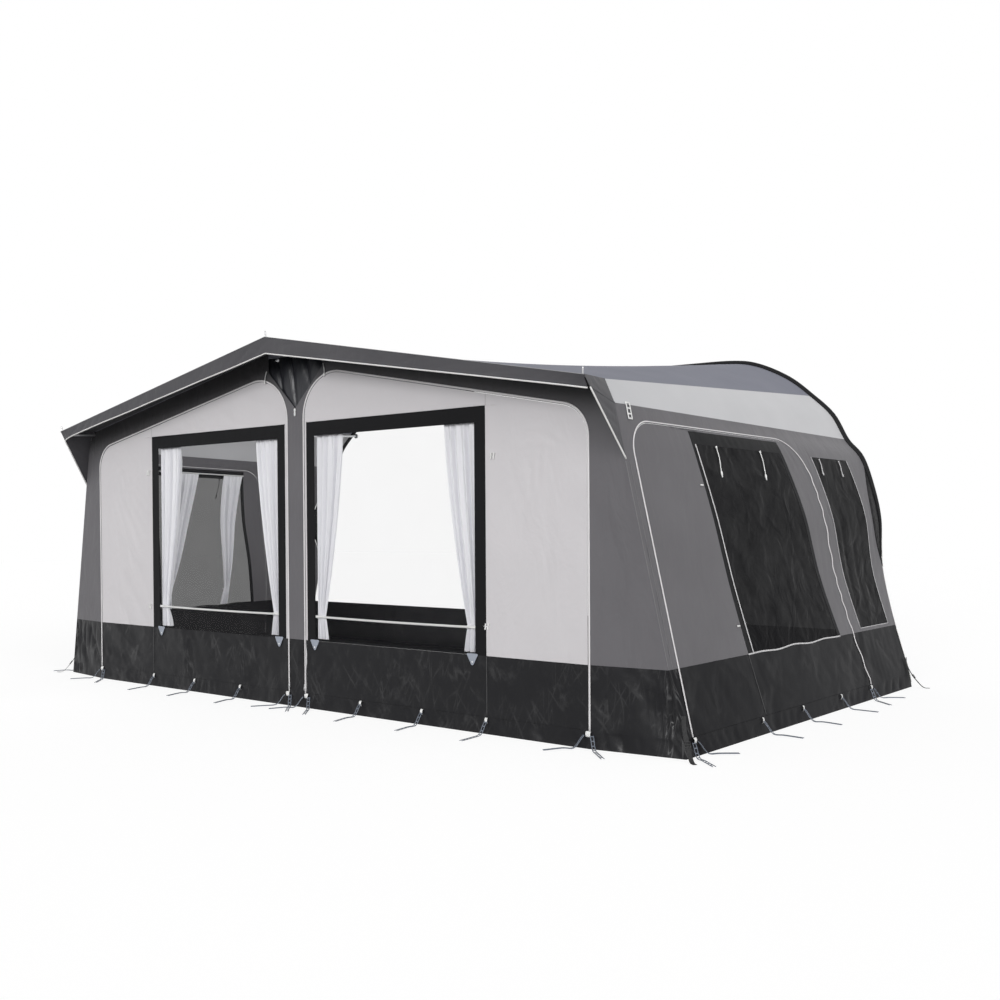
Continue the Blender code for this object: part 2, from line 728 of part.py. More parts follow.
def make_side_panel(mats, side, name):
    """One zip-out side door: grey canvas, dark window surround with its mudwall, clear film."""
    hinge = hinge_point(SKIRT_TOP)
    origin = (side * hinge.x, hinge.y, hinge.z)
    door = side_door_outline(ZIP_GAP, HINGE_GAP)
    border = side_quad(SIDE_BORDER_FRONT_TOP, SIDE_BORDER_FRONT_FOOT, SIDE_BORDER_REAR_TOP,
                       SIDE_BORDER_REAR_FOOT, SIDE_BORDER_TOP, MUD_TOP)
    pane_sizes = (SIDE_PANE_FRONT_TOP, SIDE_PANE_FRONT_FOOT, SIDE_PANE_REAR_TOP,
                  SIDE_PANE_REAR_FOOT, SIDE_PANE_TOP, MUD_TOP)
    low = MUD_TOP + GAP
    notch = [(border[1][0] + GAP, low), (border[2][0] + GAP, SIDE_BORDER_TOP + GAP),
             (border[3][0] - GAP, SIDE_BORDER_TOP + GAP), (border[0][0] - GAP, low)]
    front_cut, *_, rear_cut = above(door, MUD_TOP)
    surround = [door[0], door[1], rear_cut, border[1], border[2], border[3], border[0], front_cut]
    wall, clear = side_map(side, CLOTH), side_map(side, FILM)
    panel = plate(above(door, low) + notch, wall, step=LATTICE)
    node("side_panel_" + name, panel, mats["grey"], origin)
    track = [side_track()] if side < 0 else []
    frame = plate(surround, wall, [side_quad(*pane_sizes)], LATTICE)
    node("side_window_surround_" + name, frame, mats["mud"], origin, fused=track)
    film = plate(side_quad(*pane_sizes, GAP), clear, step=LATTICE)
    node("side_window_" + name, film, mats["film"], origin)


def make_side_fixed(mats, side, name):
    """The fixed canvas of a side wall round its door, its rear window and its draught pad."""
    edge = CLOTH + GAP
    foot = MUD_TOP + GAP
    pad_curve = [(RAIL_Y - PAD_WIDTH * math.sin(math.pi * k / ARC_STEPS),
                  mix(PAD_FOOT, PAD_TOP, k / ARC_STEPS)) for k in range(ARC_STEPS + 1)]
    wall = [(corner_y(foot) + edge, foot)] + above(side_door_outline(0, 0), foot)
    wall += [(RAIL_Y, foot)] + pad_curve + [(RAIL_Y, SEAM_Z), (corner_y(SEAM_Z) + edge, SEAM_Z)]
    quad = (REAR_PANE_FRONT_TOP, REAR_PANE_FRONT_FOOT, REAR_PANE_REAR_TOP,
            REAR_PANE_REAR_FOOT, REAR_PANE_TOP, REAR_PANE_FOOT)
    pad = [(y + GAP, z) for y, z in pad_curve[1:-1]]
    pad = [(RAIL_Y, PAD_FOOT + GAP)] + pad + [(RAIL_Y, PAD_TOP - GAP)]
    cloth, film = side_map(side, CLOTH), side_map(side, FILM)
    node("side_wall_" + name, plate(wall, cloth, [side_quad(*quad)], LATTICE), mats["grey"])
    node("rear_window_" + name, plate(side_quad(*quad, GAP), film, step=LATTICE), mats["film"])
    node("draught_pad_" + name, plate(pad, side_map(side, PAD_THICK), step=LATTICE), mats["pad"])


def strip(start, direction, width, thick, profile):
    """A bent strap: profile lists (distance along the direction, height) of its lower face."""
    direction = Vector((direction[0], direction[1], 0)).normalized()
    across = Vector((-direction.y, direction.x, 0)) * width / 2
    start = Vector((start[0], start[1], 0))
    rings = []
    for i, (out, z) in enumerate(profile):
        ahead = Vector(profile[min(i + 1, len(profile) - 1)]) - Vector(profile[max(i - 1, 0)])
        normal = Vector((-ahead.y, ahead.x)).normalized() * thick
        centre = start + direction * out + Vector((0, 0, z))
        lift = direction * normal.x + Vector((0, 0, normal.y))
        rings.append([centre - across, centre + across, centre + across + lift, centre - across + lift])
    return loft(rings)


def hem_loop(point, outward, width):
    """The sewn loop on the hem that peg ladders hang from, as a small block through the cloth."""
    outward = Vector(outward)
    along = Vector((-outward.y, outward.x, 0)) * width / 2
    inner = Vector(point) - outward * CLOTH / 2
    outer = Vector(point) + outward * LOOP_T
    foot = [inner - along, inner + along, outer + along, outer - along]
    low, high = Vector((0, 0, LOOP_FOOT)), Vector((0, 0, LOOP_TOP))
    return loft([[p + low for p in foot], [p + high for p in foot]])


def ladders_at(point, outward, double):
    """One peg ladder straight out from the wall, or two that splay apart from one loop."""
    point, outward = Vector((*point, 0)), Vector((*outward, 0))
    angle = math.atan2(outward.y, outward.x)
    along = Vector((-outward.y, outward.x, 0))
    profile = [(0, LADDER_TOP), (LADDER_BEND / 2, LADDER_KNEE), (LADDER_BEND, LADDER_T),
               (LADDER_REACH, 0)]
    start = point + outward * LOOP_T / 2
    if not double:
        return [hem_loop(point, outward, LOOP_W),
                strip(start, outward, LADDER_W, LADDER_T, profile)]
    pieces = [hem_loop(point, outward, PAIR_LOOP_W)]
    for turn in (-1, 1):
        heading = angle + turn * LADDER_SPLAY
        out = (math.cos(heading), math.sin(heading))
        pieces.append(strip(start + along * turn * LADDER_W, out, LADDER_W, LADDER_T, profile))
    return pieces


def corner_strap(point, outward):
    """A webbing strap from a corner of the wall down to the ground, with its loose tail."""
    profile = [(-STRAP_W, STRAP_TOP), (STRAP_REACH, STRAP_T), (STRAP_TAIL, 0)]
    return strip(point, outward, STRAP_W, STRAP_T, profile)


def make_mudwall(mats):
    """The fixed lower wall: a low band with upstands beside the panels, its ladders and straps."""
    front = [(-FRONT_HALF, 0), (FRONT_HALF, 0), (corner_x(MUD_TOP), MUD_TOP), (ZIP_OUT, MUD_TOP),
             (ZIP_OUT, SKIRT_TOP), (ZIP_IN, SKIRT_TOP), (ZIP_IN, MUD_TOP)]
    front += [(-x, z) for x, z in reversed(front[2:])]
    hung = []
    for side in (-1, 1):
        for x in FRONT_LADDERS:
            hung += ladders_at((side * x, FRONT_Y), (0, -1), False)
        for x in (ZIP_IN, ZIP_OUT):
            hung += ladders_at((side * x, FRONT_Y), (0, -1), True)
    node("mudwall_front", plate(front, front_map(CLOTH), step=LATTICE), mats["mud"], fused=hung)

    edge = CLOTH + GAP
    rear_y = between(DOOR_REAR_FOOT, DOOR_REAR_TOP, SKIRT_TOP, DOOR_TOP, MUD_TOP)
    outline = [(corner_y(0) + edge, 0), (RAIL_Y, 0), (RAIL_Y, MUD_TOP), (rear_y, MUD_TOP),
               (RAIL_Y - DOOR_REAR_FOOT, SKIRT_TOP), (hinge_point(SKIRT_TOP).y, SKIRT_TOP),
               (hinge_point(MUD_TOP).y, MUD_TOP), (corner_y(MUD_TOP) + edge, MUD_TOP)]
    for side, name in ((-1, "left"), (1, "right")):
        hung = []
        for back in SIDE_LADDERS:
            y = RAIL_Y - back
            hung += ladders_at((side * side_x(y, LADDER_TOP), y), (side, 0), False)
        for y in (hinge_point(LADDER_TOP).y, RAIL_Y - DOOR_REAR_FOOT):
            hung += ladders_at((side * side_x(y, LADDER_TOP), y), (side, 0), True)
        rear = RAIL_Y - STRAP_W
        hung.append(corner_strap((side * side_x(rear, STRAP_TOP), rear), (side, 0)))
        front = corner_y(0) + STRAP_W
        hung.append(corner_strap((side * side_x(front, STRAP_TOP), front), (side, -1)))
        node("mudwall_" + name, plate(outline, side_map(side, CLOTH), step=LATTICE), mats["mud"],
             fused=hung)


def make_draught_skirt(mats):
    """The dark skirt that closes the gap under the caravan, between the side walls' rear edges."""
    spans = math.ceil(MUD_TOP / LATTICE)
    heights = [MUD_TOP * k / spans for k in range(spans + 1)]
    halves = [rail_x(z) - CLOTH - SEAM_GAP for z in heights]
    kept = [z for z in heights if z < DRAUGHT_SKIRT_TOP] + [DRAUGHT_SKIRT_TOP]
    right = [(float(np.interp(z, heights, halves)), z) for z in kept]
    outline = right + [(-x, z) for x, z in reversed(right)]
    skirt = plate(outline, lambda x, z: ((x, RAIL_Y - CLOTH, z), (x, RAIL_Y, z)))
    node("draught_skirt", skirt, mats["mud"])


def foot_tube(foot, top, join):
    """The lower tube of an upright: a round foot, a neck, and a hollow tube up into the upper one."""
    foot, top = Vector(foot), Vector(top)
    axis = (top - foot).normalized()
    up = Vector((0, 0, 1))
    start = foot + axis * FOOT_BEND
    end = foot + axis * (join + INSERT)
    return loft([ring(foot, up, FOOT_R), ring(foot + up * FOOT_T, up, FOOT_R),
                 ring(foot + up * FOOT_NECK, up, INNER_R), ring(start, axis, INNER_R),
                 ring(end, axis, INNER_R), ring(end, axis, INNER_R - POLE_WALL),
                 ring(start, axis, INNER_R - POLE_WALL)])


def collar(point, axis):
    """A twist collar: its wide half turns on the outer tube, its lip on the inner one."""
    axis = Vector(axis).normalized()
    point = Vector(point)
    loose = 1 / math.cos(math.pi / SIDES)
    big, small = POLE_R * loose + GAP, INNER_R * loose + GAP
    seat, back, tip = point - axis * GAP, point + axis * COLLAR_LENGTH, point - axis * COLLAR_LIP
    grip = point + axis * (COLLAR_LENGTH / 2)
    return loft([ring(tip, axis, COLLAR_R), ring(grip, axis, COLLAR_GRIP_R), ring(back, axis, COLLAR_R),
                 ring(back, axis, big), ring(seat, axis, big), ring(seat, axis, small),
                 ring(tip, axis, small)], closed=True)


def make_upright(mats, name, foot, top):
    """A telescopic upright: upper tube, lower tube with its foot, and the twist collar."""
    foot, top = Vector(foot), Vector(top)
    axis = (top - foot).normalized()
    join = foot + axis * UPRIGHT_JOIN_Z
    node(name, tube(join, top, POLE_R, POLE_WALL), mats["alu"], join, True)
    node(name + "_foot_tube", foot_tube(foot, top, UPRIGHT_JOIN_Z), mats["alu"], foot, True)
    node(name + "_collar", collar(join, axis), mats["black"], join, True)


def make_roof_pole(mats, name, over_wall, rear):
    """A telescopic roof pole: outer tube out to the eave, inner tube with its end pad at the rail."""
    front = over_wall + (over_wall - rear) * ((EAVE_REACH - ROOF_POLE_TIP) / DEPTH)
    axis = (front - rear).normalized()
    join = rear + axis * ROOF_POLE_JOIN
    node(name, tube(join, front, POLE_R, POLE_WALL), mats["alu"], join, True)
    insert = join + axis * INSERT
    pad_end = rear + axis * END_PAD_T
    inner = loft([ring(rear, axis, END_PAD_R), ring(pad_end, axis, END_PAD_R),
                  ring(pad_end, axis, INNER_R), ring(insert, axis, INNER_R),
                  ring(insert, axis, INNER_R - POLE_WALL), ring(pad_end, axis, INNER_R - POLE_WALL)])
    node(name + "_inner_tube", inner, mats["alu"], rear, True)
    node(name + "_collar", collar(join, axis), mats["black"], join, True)


def ridge_pole_z():
    return roof_front_z(0) - RIDGE_DROP


def apex_bracket_foot():
    return ridge_pole_z() - POLE_R - GAP - BRACKET_H


def make_frame(mats):
    """Uprights, roof poles, gable poles with their corner elbows, and the apex bracket."""
    pole_y = FRONT_Y + FRONT_POLE_INSET
    rail_y = RAIL_Y - ROOF_POLE_END
    ridge_wall = Vector((0, FRONT_Y, ridge_pole_z()))
    make_roof_pole(mats, "ridge_pole", ridge_wall, Vector((0, rail_y, RAIL_Z - RIDGE_END_DROP)))
    corner = Vector((CREASE_HALF - ROOF_POLE_DROP, FRONT_Y, CREASE_Z - ROOF_POLE_DROP))
    rail_x_end, rail_z_end = REAR_CREASE_HALF - ROOF_POLE_END_IN, REAR_CREASE_Z - ROOF_POLE_END_DROP
    for side, name in ((-1, "left"), (1, "right")):
        make_roof_pole(mats, "roof_pole_" + name, Vector((side * corner.x, corner.y, corner.z)),
                       Vector((side * rail_x_end, rail_y, rail_z_end)))

    half_w, half_t = BRACKET_W / 2, BRACKET_T / 2
    apex_foot = apex_bracket_foot()
    low_y, high_y = FRONT_Y + CLOTH + GAP, pole_y + half_t
    apex = block((-half_w, low_y, apex_foot), (half_w, high_y, apex_foot + BRACKET_H))
    node("apex_bracket", apex, mats["black"])

    elbow_top = corner.z - POLE_R - GAP
    elbow_foot = elbow_top - BRACKET_H
    elbow_x = corner.x
    gable_high = Vector((half_w + GABLE_LAP, pole_y, apex_foot + BRACKET_H / 2))
    gable_low = Vector((elbow_x - POLE_R, pole_y, elbow_foot + BRACKET_H / 2))
    gable = tube(gable_high, gable_low, POLE_R, POLE_WALL)
    elbow = block((elbow_x - half_w, low_y, elbow_foot), (elbow_x + POLE_R, high_y, elbow_top))
    node("gable_pole_right", gable, mats["alu"], fused=[elbow])
    node("gable_pole_left", mirrored(gable), mats["alu"], fused=[mirrored(elbow)])

    make_upright(mats, "centre_upright", (0, pole_y, 0), (0, pole_y, apex_foot - GAP))
    foot = Vector((FRONT_HALF - CORNER_POLE_INSET, corner_y(0) + CORNER_POLE_BACK, 0))
    lean = (foot.x - elbow_x) / elbow_foot
    for side, name in ((-1, "left"), (1, "right")):
        make_upright(mats, "corner_upright_" + name, (side * foot.x, foot.y, 0),
                     (side * elbow_x, pole_y, elbow_foot - POLE_R * lean - GAP))


def make_zip_sliders(mats):
    """The two sliders on the zips beside the mullion, parked at the foot of the zip."""
    for side, name in ((-1, "left"), (1, "right")):
        x, y = side * (ZIP_IN - SLIDER_W), FRONT_Y - GAP
        low = (x - SLIDER_W / 2, y - SLIDER_T, SLIDER_Z)
        high = (x + SLIDER_W / 2, y, SLIDER_Z + SLIDER_H)
        node("zip_slider_" + name, block(low, high), mats["white"], (x, y, SLIDER_Z))


def side_track():
    """The curtain track on the inside of the left side door, let into its surround."""
    ends = (SIDE_PANE_FRONT_TOP - ROD_LAP, SIDE_PANE_REAR_TOP + ROD_LAP)

    def section(back):
        y = RAIL_Y - back
        outer = side_x(y, SIDE_TRACK_Z) - CLOTH / 2
        inner = outer - TRACK_T
        low, high = SIDE_TRACK_Z, SIDE_TRACK_Z + TRACK_H
        return [(-outer, y, low), (-inner, y, low), (-inner, y, high), (-outer, y, high)]
    return loft([section(mix(*ends, k / TRACK_SPANS)) for k in range(TRACK_SPANS + 1)])


def main():
    clear_scene()
    mats = make_materials()
    make_roof(mats)
    make_visor(mats)
    make_front_fixed(mats)
    make_mudwall(mats)
    make_draught_skirt(mats)
    for side, name in ((-1, "left"), (1, "right")):
        make_side_fixed(mats, side, name)
        make_front_panel(mats, side, name)
        make_side_panel(mats, side, name)
    make_curtains(mats)
    make_frame(mats)
    make_zip_sliders(mats)


main()
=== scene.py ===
"""A caravan awning dressed for its picture: cloth, films, zips, curtains and straps.

Metres, +Z up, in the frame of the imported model: X across the front, -Y is the front, and the
origin is on the ground under the middle. Each section makes one piece or group of like pieces.
"""
import math

import bmesh
import bpy
import numpy as np
from mathutils import Matrix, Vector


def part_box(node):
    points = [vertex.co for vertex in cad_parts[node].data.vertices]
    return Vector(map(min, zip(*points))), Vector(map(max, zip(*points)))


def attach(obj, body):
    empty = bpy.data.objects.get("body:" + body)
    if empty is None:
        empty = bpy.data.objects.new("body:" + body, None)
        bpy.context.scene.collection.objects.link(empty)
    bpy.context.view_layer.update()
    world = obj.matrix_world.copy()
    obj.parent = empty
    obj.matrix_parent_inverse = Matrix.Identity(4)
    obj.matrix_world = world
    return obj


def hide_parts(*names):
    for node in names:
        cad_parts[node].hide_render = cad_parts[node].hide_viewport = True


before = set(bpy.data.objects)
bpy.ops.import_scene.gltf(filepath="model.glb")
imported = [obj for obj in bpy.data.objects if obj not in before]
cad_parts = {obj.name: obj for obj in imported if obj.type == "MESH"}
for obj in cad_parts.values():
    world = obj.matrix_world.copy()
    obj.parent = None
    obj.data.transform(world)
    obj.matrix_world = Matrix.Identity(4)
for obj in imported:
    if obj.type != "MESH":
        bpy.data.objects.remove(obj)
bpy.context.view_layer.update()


# Camera: it stands low off the right front corner and looks level across the front and the
# right side. The lens is raised a little, as the picture's horizon lies below its middle.
CAMERA_AT = (4.7801, -5.7957, 1.1535)
CAMERA_YAW, CAMERA_PITCH, CAMERA_ROLL = (math.radians(a) for a in (35.593, -0.74, -0.332))
SENSOR, LENS, LENS_RISE = 36, 35.505, 0.0401


def in_scene(name, data):
    """An object that holds a mesh, a lamp or a camera, linked into the scene."""
    holder = bpy.data.objects.new(name, data)
    bpy.context.scene.collection.objects.link(holder)
    return holder


lens = bpy.data.cameras.new("camera")
lens.sensor_width, lens.lens, lens.shift_y = SENSOR, LENS, LENS_RISE
camera = in_scene("camera", lens)
camera.matrix_world = (Matrix.Translation(CAMERA_AT) @ Matrix.Rotation(CAMERA_YAW, 4, "Z")
                       @ Matrix.Rotation(math.pi / 2 + CAMERA_PITCH, 4, "X")
                       @ Matrix.Rotation(CAMERA_ROLL, 4, "Z"))
bpy.context.scene.camera = camera


# Studio: a plain white floor that keeps the shadow, a surround that is bright low down and dim
# overhead, two wide low lamps off the left front and the right, and a soft lamp under the roof.
FLOOR_HALF, FLOOR_TONE, FLOOR_LIFT = 30.0, 0.22, 0.85
LOW_SURROUND, HIGH_SURROUND, SURROUND_RISE = 0.95, 0.34, 0.75
SUNS = {"key": ((0.12, -0.95, 0.22), 1.58, 30), "fill": ((0.92, -0.22, 0.32), 1.10, 40)}
INSIDE_AT, INSIDE_TILT, INSIDE_SIZE, INSIDE_POWER = (-0.6, 0.1, 1.55), 72, (1.1, 1.2), 20
WHITE = (1, 1, 1)


def fed(node, inputs):
    """A node with its inputs, by name or number, set to values or linked to sockets. A node given
    as a value stands for its first output in use, and a colour is given without its alpha."""
    for key, value in inputs.items():
        if isinstance(value, bpy.types.Node):
            value = next(socket for socket in value.outputs if socket.enabled)
        if isinstance(value, bpy.types.NodeSocket):
            node.id_data.links.new(value, node.inputs[key])
        else:
            coloured = node.inputs[key].type == "RGBA"
            node.inputs[key].default_value = (*value, 1) if coloured else value
    return node


def adder(tree):
    """The function that adds a node to a tree: its kind, or in capitals what a Math node does,
    then its inputs in their order or as one dict, and its settings."""
    def add(kind, *inputs, **settings):
        """The new node."""
        if kind.isupper():
            kind, settings = "Math", {"operation": kind}
        node = tree.nodes.new("ShaderNode" + kind)
        for key, value in settings.items():
            setattr(node, key, value)
        return fed(node, inputs[0] if inputs and isinstance(inputs[0], dict) else dict(enumerate(inputs)))
    return add


def material(name):
    """A new material, the function that adds its nodes, and its shader."""
    made = bpy.data.materials.new(name)
    made.use_nodes = True
    return made, adder(made.node_tree), made.node_tree.nodes["Principled BSDF"]


def seen_plainly(add):
    """1 for rays from the camera, off gloss and through film, 0 for the rays that light things."""
    rays = add("LightPath").outputs
    return add("MAXIMUM", add("MAXIMUM", rays["Is Camera Ray"], rays["Is Glossy Ray"]),
               rays["Is Transmission Ray"])


floor_white, add, shader = material("floor_white")
fed(shader, {"Base Color": (FLOOR_TONE,) * 3, "Roughness": 1.0, "Specular IOR Level": 0.0,
             "Emission Color": WHITE,
             "Emission Strength": add("MULTIPLY", seen_plainly(add), FLOOR_LIFT)})
floor_mesh = bpy.data.meshes.new("floor")
corners = [(x * FLOOR_HALF, y * FLOOR_HALF, 0) for x, y in ((-1, -1), (1, -1), (1, 1), (-1, 1))]
floor_mesh.from_pydata(corners, [], [(0, 1, 2, 3)])
floor_mesh.materials.append(floor_white)
in_scene("floor", floor_mesh)

world = bpy.data.worlds.new("surround")
world.use_nodes = True
bpy.context.scene.world = world
add = adder(world.node_tree)
height = add("SeparateXYZ", add("TexCoord").outputs["Generated"]).outputs["Z"]
rise = add("MapRange", height, 0.0, SURROUND_RISE, LOW_SURROUND, HIGH_SURROUND)
fed(world.node_tree.nodes["Background"],
    {"Color": WHITE, "Strength": add("Mix", {0: seen_plainly(add), 2: rise, 3: 1.0})})

for name, ((x, y, z), power, spread) in SUNS.items():
    sun = bpy.data.lights.new(name, "SUN")
    sun.energy, sun.angle = power, math.radians(spread)
    turned = (math.atan2(math.hypot(x, y), z), 0, math.atan2(-y, -x) - math.pi / 2)
    in_scene(name, sun).rotation_euler = turned

lamp = bpy.data.lights.new("inside", "AREA")
lamp.energy, lamp.shape, (lamp.size, lamp.size_y) = INSIDE_POWER, "RECTANGLE", INSIDE_SIZE
inside = in_scene("inside", lamp)
inside.visible_camera = inside.visible_glossy = False
inside.matrix_world = Matrix.Translation(INSIDE_AT) @ Matrix.Rotation(math.radians(INSIDE_TILT), 4, "Y")
bpy.context.scene.view_settings.view_transform = "Standard"


# Roof: one cut of coated canvas from seam to seam, stretched over the ridge pole and the two
# roof poles. Its slopes are coloured a darker, bluer grey than its drops, welded to them along
# the creases.
DEPTH = 3.00
RAIL_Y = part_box("roof")[1].y
FRONT_Y = RAIL_Y - DEPTH
RAIL_Z, REAR_HALF = 2.448, 3.077
FRONT_HALF, SETBACK = 2.697, 0.065
SEAM_Z, SEAM_HALF = 1.785, 2.330
CREASE_Z, CREASE_HALF = 1.911, 2.273
APEX_Z = 2.358
REAR_CREASE_SHARE = 0.5173
CLOTH, FABRIC = 0.003, 0.0012
RAIL_SHARES = np.array([
    (0.000, 1.000), (0.285, 1.000), (0.447, 0.998), (0.571, 0.993), (0.638, 0.975),
    (0.713, 0.927), (0.769, 0.869), (0.821, 0.804), (0.855, 0.725), (0.890, 0.670),
    (0.916, 0.577), (0.931, 0.490), (0.933, 0.404), (0.938, 0.323), (0.963, 0.183),
    (0.993, 0.050), (1.000, 0.000),
])
ROOF_SAG = 0.010
CREASE_BEND = 0.9
THREADS_PER_METRE = 700.0
BLUE_GREYS = (0.225, 0.231, 0.272), (0.205, 0.211, 0.250)
DROP_GREYS = (0.560, 0.560, 0.575), (0.510, 0.512, 0.526)
ROOF_FRAME = ["ridge_pole", "roof_pole_left", "roof_pole_right"]
SIDES = ((-1, "left"), (1, "right"))
FORWARD, ASIDE, UP = (0, -1, 0), (1, 0, 0), (0, 0, 1)


def shares(steps):
    """Even shares from 0 to 1."""
    return np.linspace(0, 1, steps + 1)


def mixed(a, b, share):
    """The value that lies a share of the way from a to b."""
    return a + (b - a) * share


def points(*coordinates):
    """Points with these coordinates, of which any may be one number for them all."""
    return np.stack(np.broadcast_arrays(*coordinates), -1)


def smooth_run(knots, steps):
    """A smooth run through knots: on each span the cubic through its ends whose end slopes are
    half the chord between their neighbours (Catmull-Rom)."""
    p = np.vstack([2 * knots[0] - knots[1], knots, 2 * knots[-1] - knots[-2]])
    t = (np.arange(steps) / steps)[None, :, None]
    a, b, c, d = (p[k:len(p) - 3 + k, None] for k in range(4))
    run = 0.5 * (2 * b + (c - a) * t + (2 * a - 5 * b + 4 * c - d) * t ** 2
                 + (3 * b - a - 3 * c + d) * t ** 3)
    return np.vstack([run.reshape(-1, p.shape[1]), knots[-1:]])


RAIL = smooth_run(RAIL_SHARES * (REAR_HALF, RAIL_Z), 6)
REAR_CREASE_Z = mixed(SEAM_Z, RAIL_Z, REAR_CREASE_SHARE)


def rail_x(z):
    """Half width of the caravan rail's outline at a height."""
    return np.interp(z, RAIL[::-1, 1], RAIL[::-1, 0])


def rail_z(x):
    """Height of the caravan rail's outline at a distance from the middle."""
    return np.interp(x, RAIL[:, 0], RAIL[:, 1])


def corner_x(z):
    """Half width of the front corner: straight leans from ground to seam and seam to crease."""
    return np.interp(z, (0, SEAM_Z, CREASE_Z), (FRONT_HALF, SEAM_HALF, CREASE_HALF))


def corner_y(z):
    """The front corner's edge leans back towards the ground by its setback."""
    return FRONT_Y + SETBACK * np.clip(1 - z / SEAM_Z, 0, None)


def ridge_z(x):
    """Height of the roof over the front wall: two straight slopes from the apex."""
    return mixed(APEX_Z, CREASE_Z, np.abs(x) / CREASE_HALF)


def hump(share):
    """Nought at 0 and 1 and one halfway: four times share times one less share."""
    return 4 * share * (1 - share)


def creases(cut, *waves):
    """Soft creases over flat cloth, summed over waves of a size, a heading, a pitch and a seed.

    Each is one less the size of a sine, squared, across its heading, with its phase bent by four
    slow waves and its height faded in patches by two.
    """
    total = 0
    for size, heading, pitch, seed in waves:
        chance = np.random.default_rng(seed)
        across = (cut[..., 0] * math.cos(heading) + cut[..., 1] * math.sin(heading)) / pitch
        along = (cut[..., 1] * math.cos(heading) - cut[..., 0] * math.sin(heading)) / pitch
        phase, fade = across, 1
        for k in range(1, 5):
            way, start = chance.uniform(0, math.tau, 2)
            reach = chance.uniform(2, 5)
            slow = (across * math.cos(way) + along * math.sin(way)) / reach * math.sqrt(k)
            phase = phase + CREASE_BEND / k * np.sin(slow + start)
        for k in range(2):
            way, start = chance.uniform(0, math.tau, 2)
            slow = (across * math.cos(way) + along * math.sin(way)) * 0.9
            fade = fade * (0.5 + 0.5 * np.sin(slow + start))
        total = total + size * (1 - np.abs(np.sin(math.pi * phase))) ** 2 * (0.25 + fade)
    return total


def surface(name, grids, finish, out=None, thick=0.0):
    """A mesh of quads over grids of points, welded where they meet, with a UV map in metres.

    Point (r, c) is joined with (r + 1, c + 1) in a quad that faces out where out is given, and
    u and v are the mean distances walked along the grid's rows and columns.
    """
    spots, quads, walked, first = [], [], [], 0
    for grid in grids:
        rows, columns = grid.shape[:2]
        index = first + np.arange(rows * columns).reshape(rows, columns)
        quad = np.stack([index[:-1, :-1], index[:-1, 1:], index[1:, 1:], index[1:, :-1]], -1)
        faced = np.cross(grid[1:, 1:] - grid[:-1, :-1], grid[1:, :-1] - grid[:-1, 1:])
        if out is not None and np.sum(faced * out) < 0:
            quad = quad[..., ::-1]
        paces = (np.linalg.norm(np.diff(grid, axis=k), axis=2).mean(1 - k) for k in (1, 0))
        u, v = (np.append(0, pace).cumsum() for pace in paces)
        walked.append(np.stack(np.meshgrid(u, v), -1).reshape(-1, 2))
        spots.append(grid.reshape(-1, 3))
        quads.append(quad.reshape(-1, 4))
        first += rows * columns
    mesh = bpy.data.meshes.new(name)
    mesh.from_pydata(np.vstack(spots).tolist(), [], np.vstack(quads).tolist())
    corners = np.empty(len(mesh.loops), dtype=np.int32)
    mesh.loops.foreach_get("vertex_index", corners)
    mesh.uv_layers.new(name="cloth").data.foreach_set("uv", np.vstack(walked)[corners].ravel())
    shape = bmesh.new()
    shape.from_mesh(mesh)
    bmesh.ops.remove_doubles(shape, verts=shape.verts, dist=1e-5)
    shape.to_mesh(mesh)
    shape.free()
    mesh.shade_smooth()
    mesh.materials.append(finish)
    made = in_scene(name, mesh)
    if thick:
        shell = made.modifiers.new("thickness", "SOLIDIFY")
        shell.thickness, shell.offset = thick, -1
        made.modifiers.new("even_faces", "WEIGHTED_NORMAL")
    return made


def piece(name, grids, finish, slot, *nodes, body="awning", out=None, thick=FABRIC, flat=None,
          held="stretched", **said):
    """A surface that rides on a body, in place of the nodes that it stands for; its slot is not
    used. With a flat size it is cloth or film: it gets its thickness."""
    made = surface(name, grids, finish, out, thick if flat else 0.0)
    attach(made, body)
    if nodes:
        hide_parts(*nodes)
    return made


def pair(name, grids, finish, slot, *nodes, body="awning", out=None, **rest):
    """A piece of the right side and its mirror on the left. A name that ends in an underscore
    gets the side's word, and closed grids are turned over in the mirror to face out again."""
    both = []
    for side, word in SIDES:
        flip = (side, 1, 1)
        labels = [label + word if label.endswith("_") else label for label in (name, body, *nodes)]
        turned = [(grid if out else grid[:, ::side]) * flip for grid in grids]
        both.append(piece(labels[0], turned, finish, slot, *labels[2:], body=labels[1],
                          out=out and np.multiply(out, flip), **rest))
    return both


def face_group(name, takes, gives):
    """A shader group that takes a place and numbers with their defaults, and gives numbers: its
    tree, the function that adds its nodes, what it takes, and the node that gives."""
    tree = bpy.data.node_groups.new(name, "ShaderNodeTree")
    for label, value in takes.items():
        kind = "NodeSocketVector" if value is None else "NodeSocketFloat"
        socket = tree.interface.new_socket(label, in_out="INPUT", socket_type=kind)
        if value is not None:
            socket.default_value = value
    for label in gives:
        tree.interface.new_socket(label, in_out="OUTPUT", socket_type="NodeSocketFloat")
    return tree, adder(tree), tree.nodes.new("NodeGroupInput").outputs, tree.nodes.new("NodeGroupOutput")


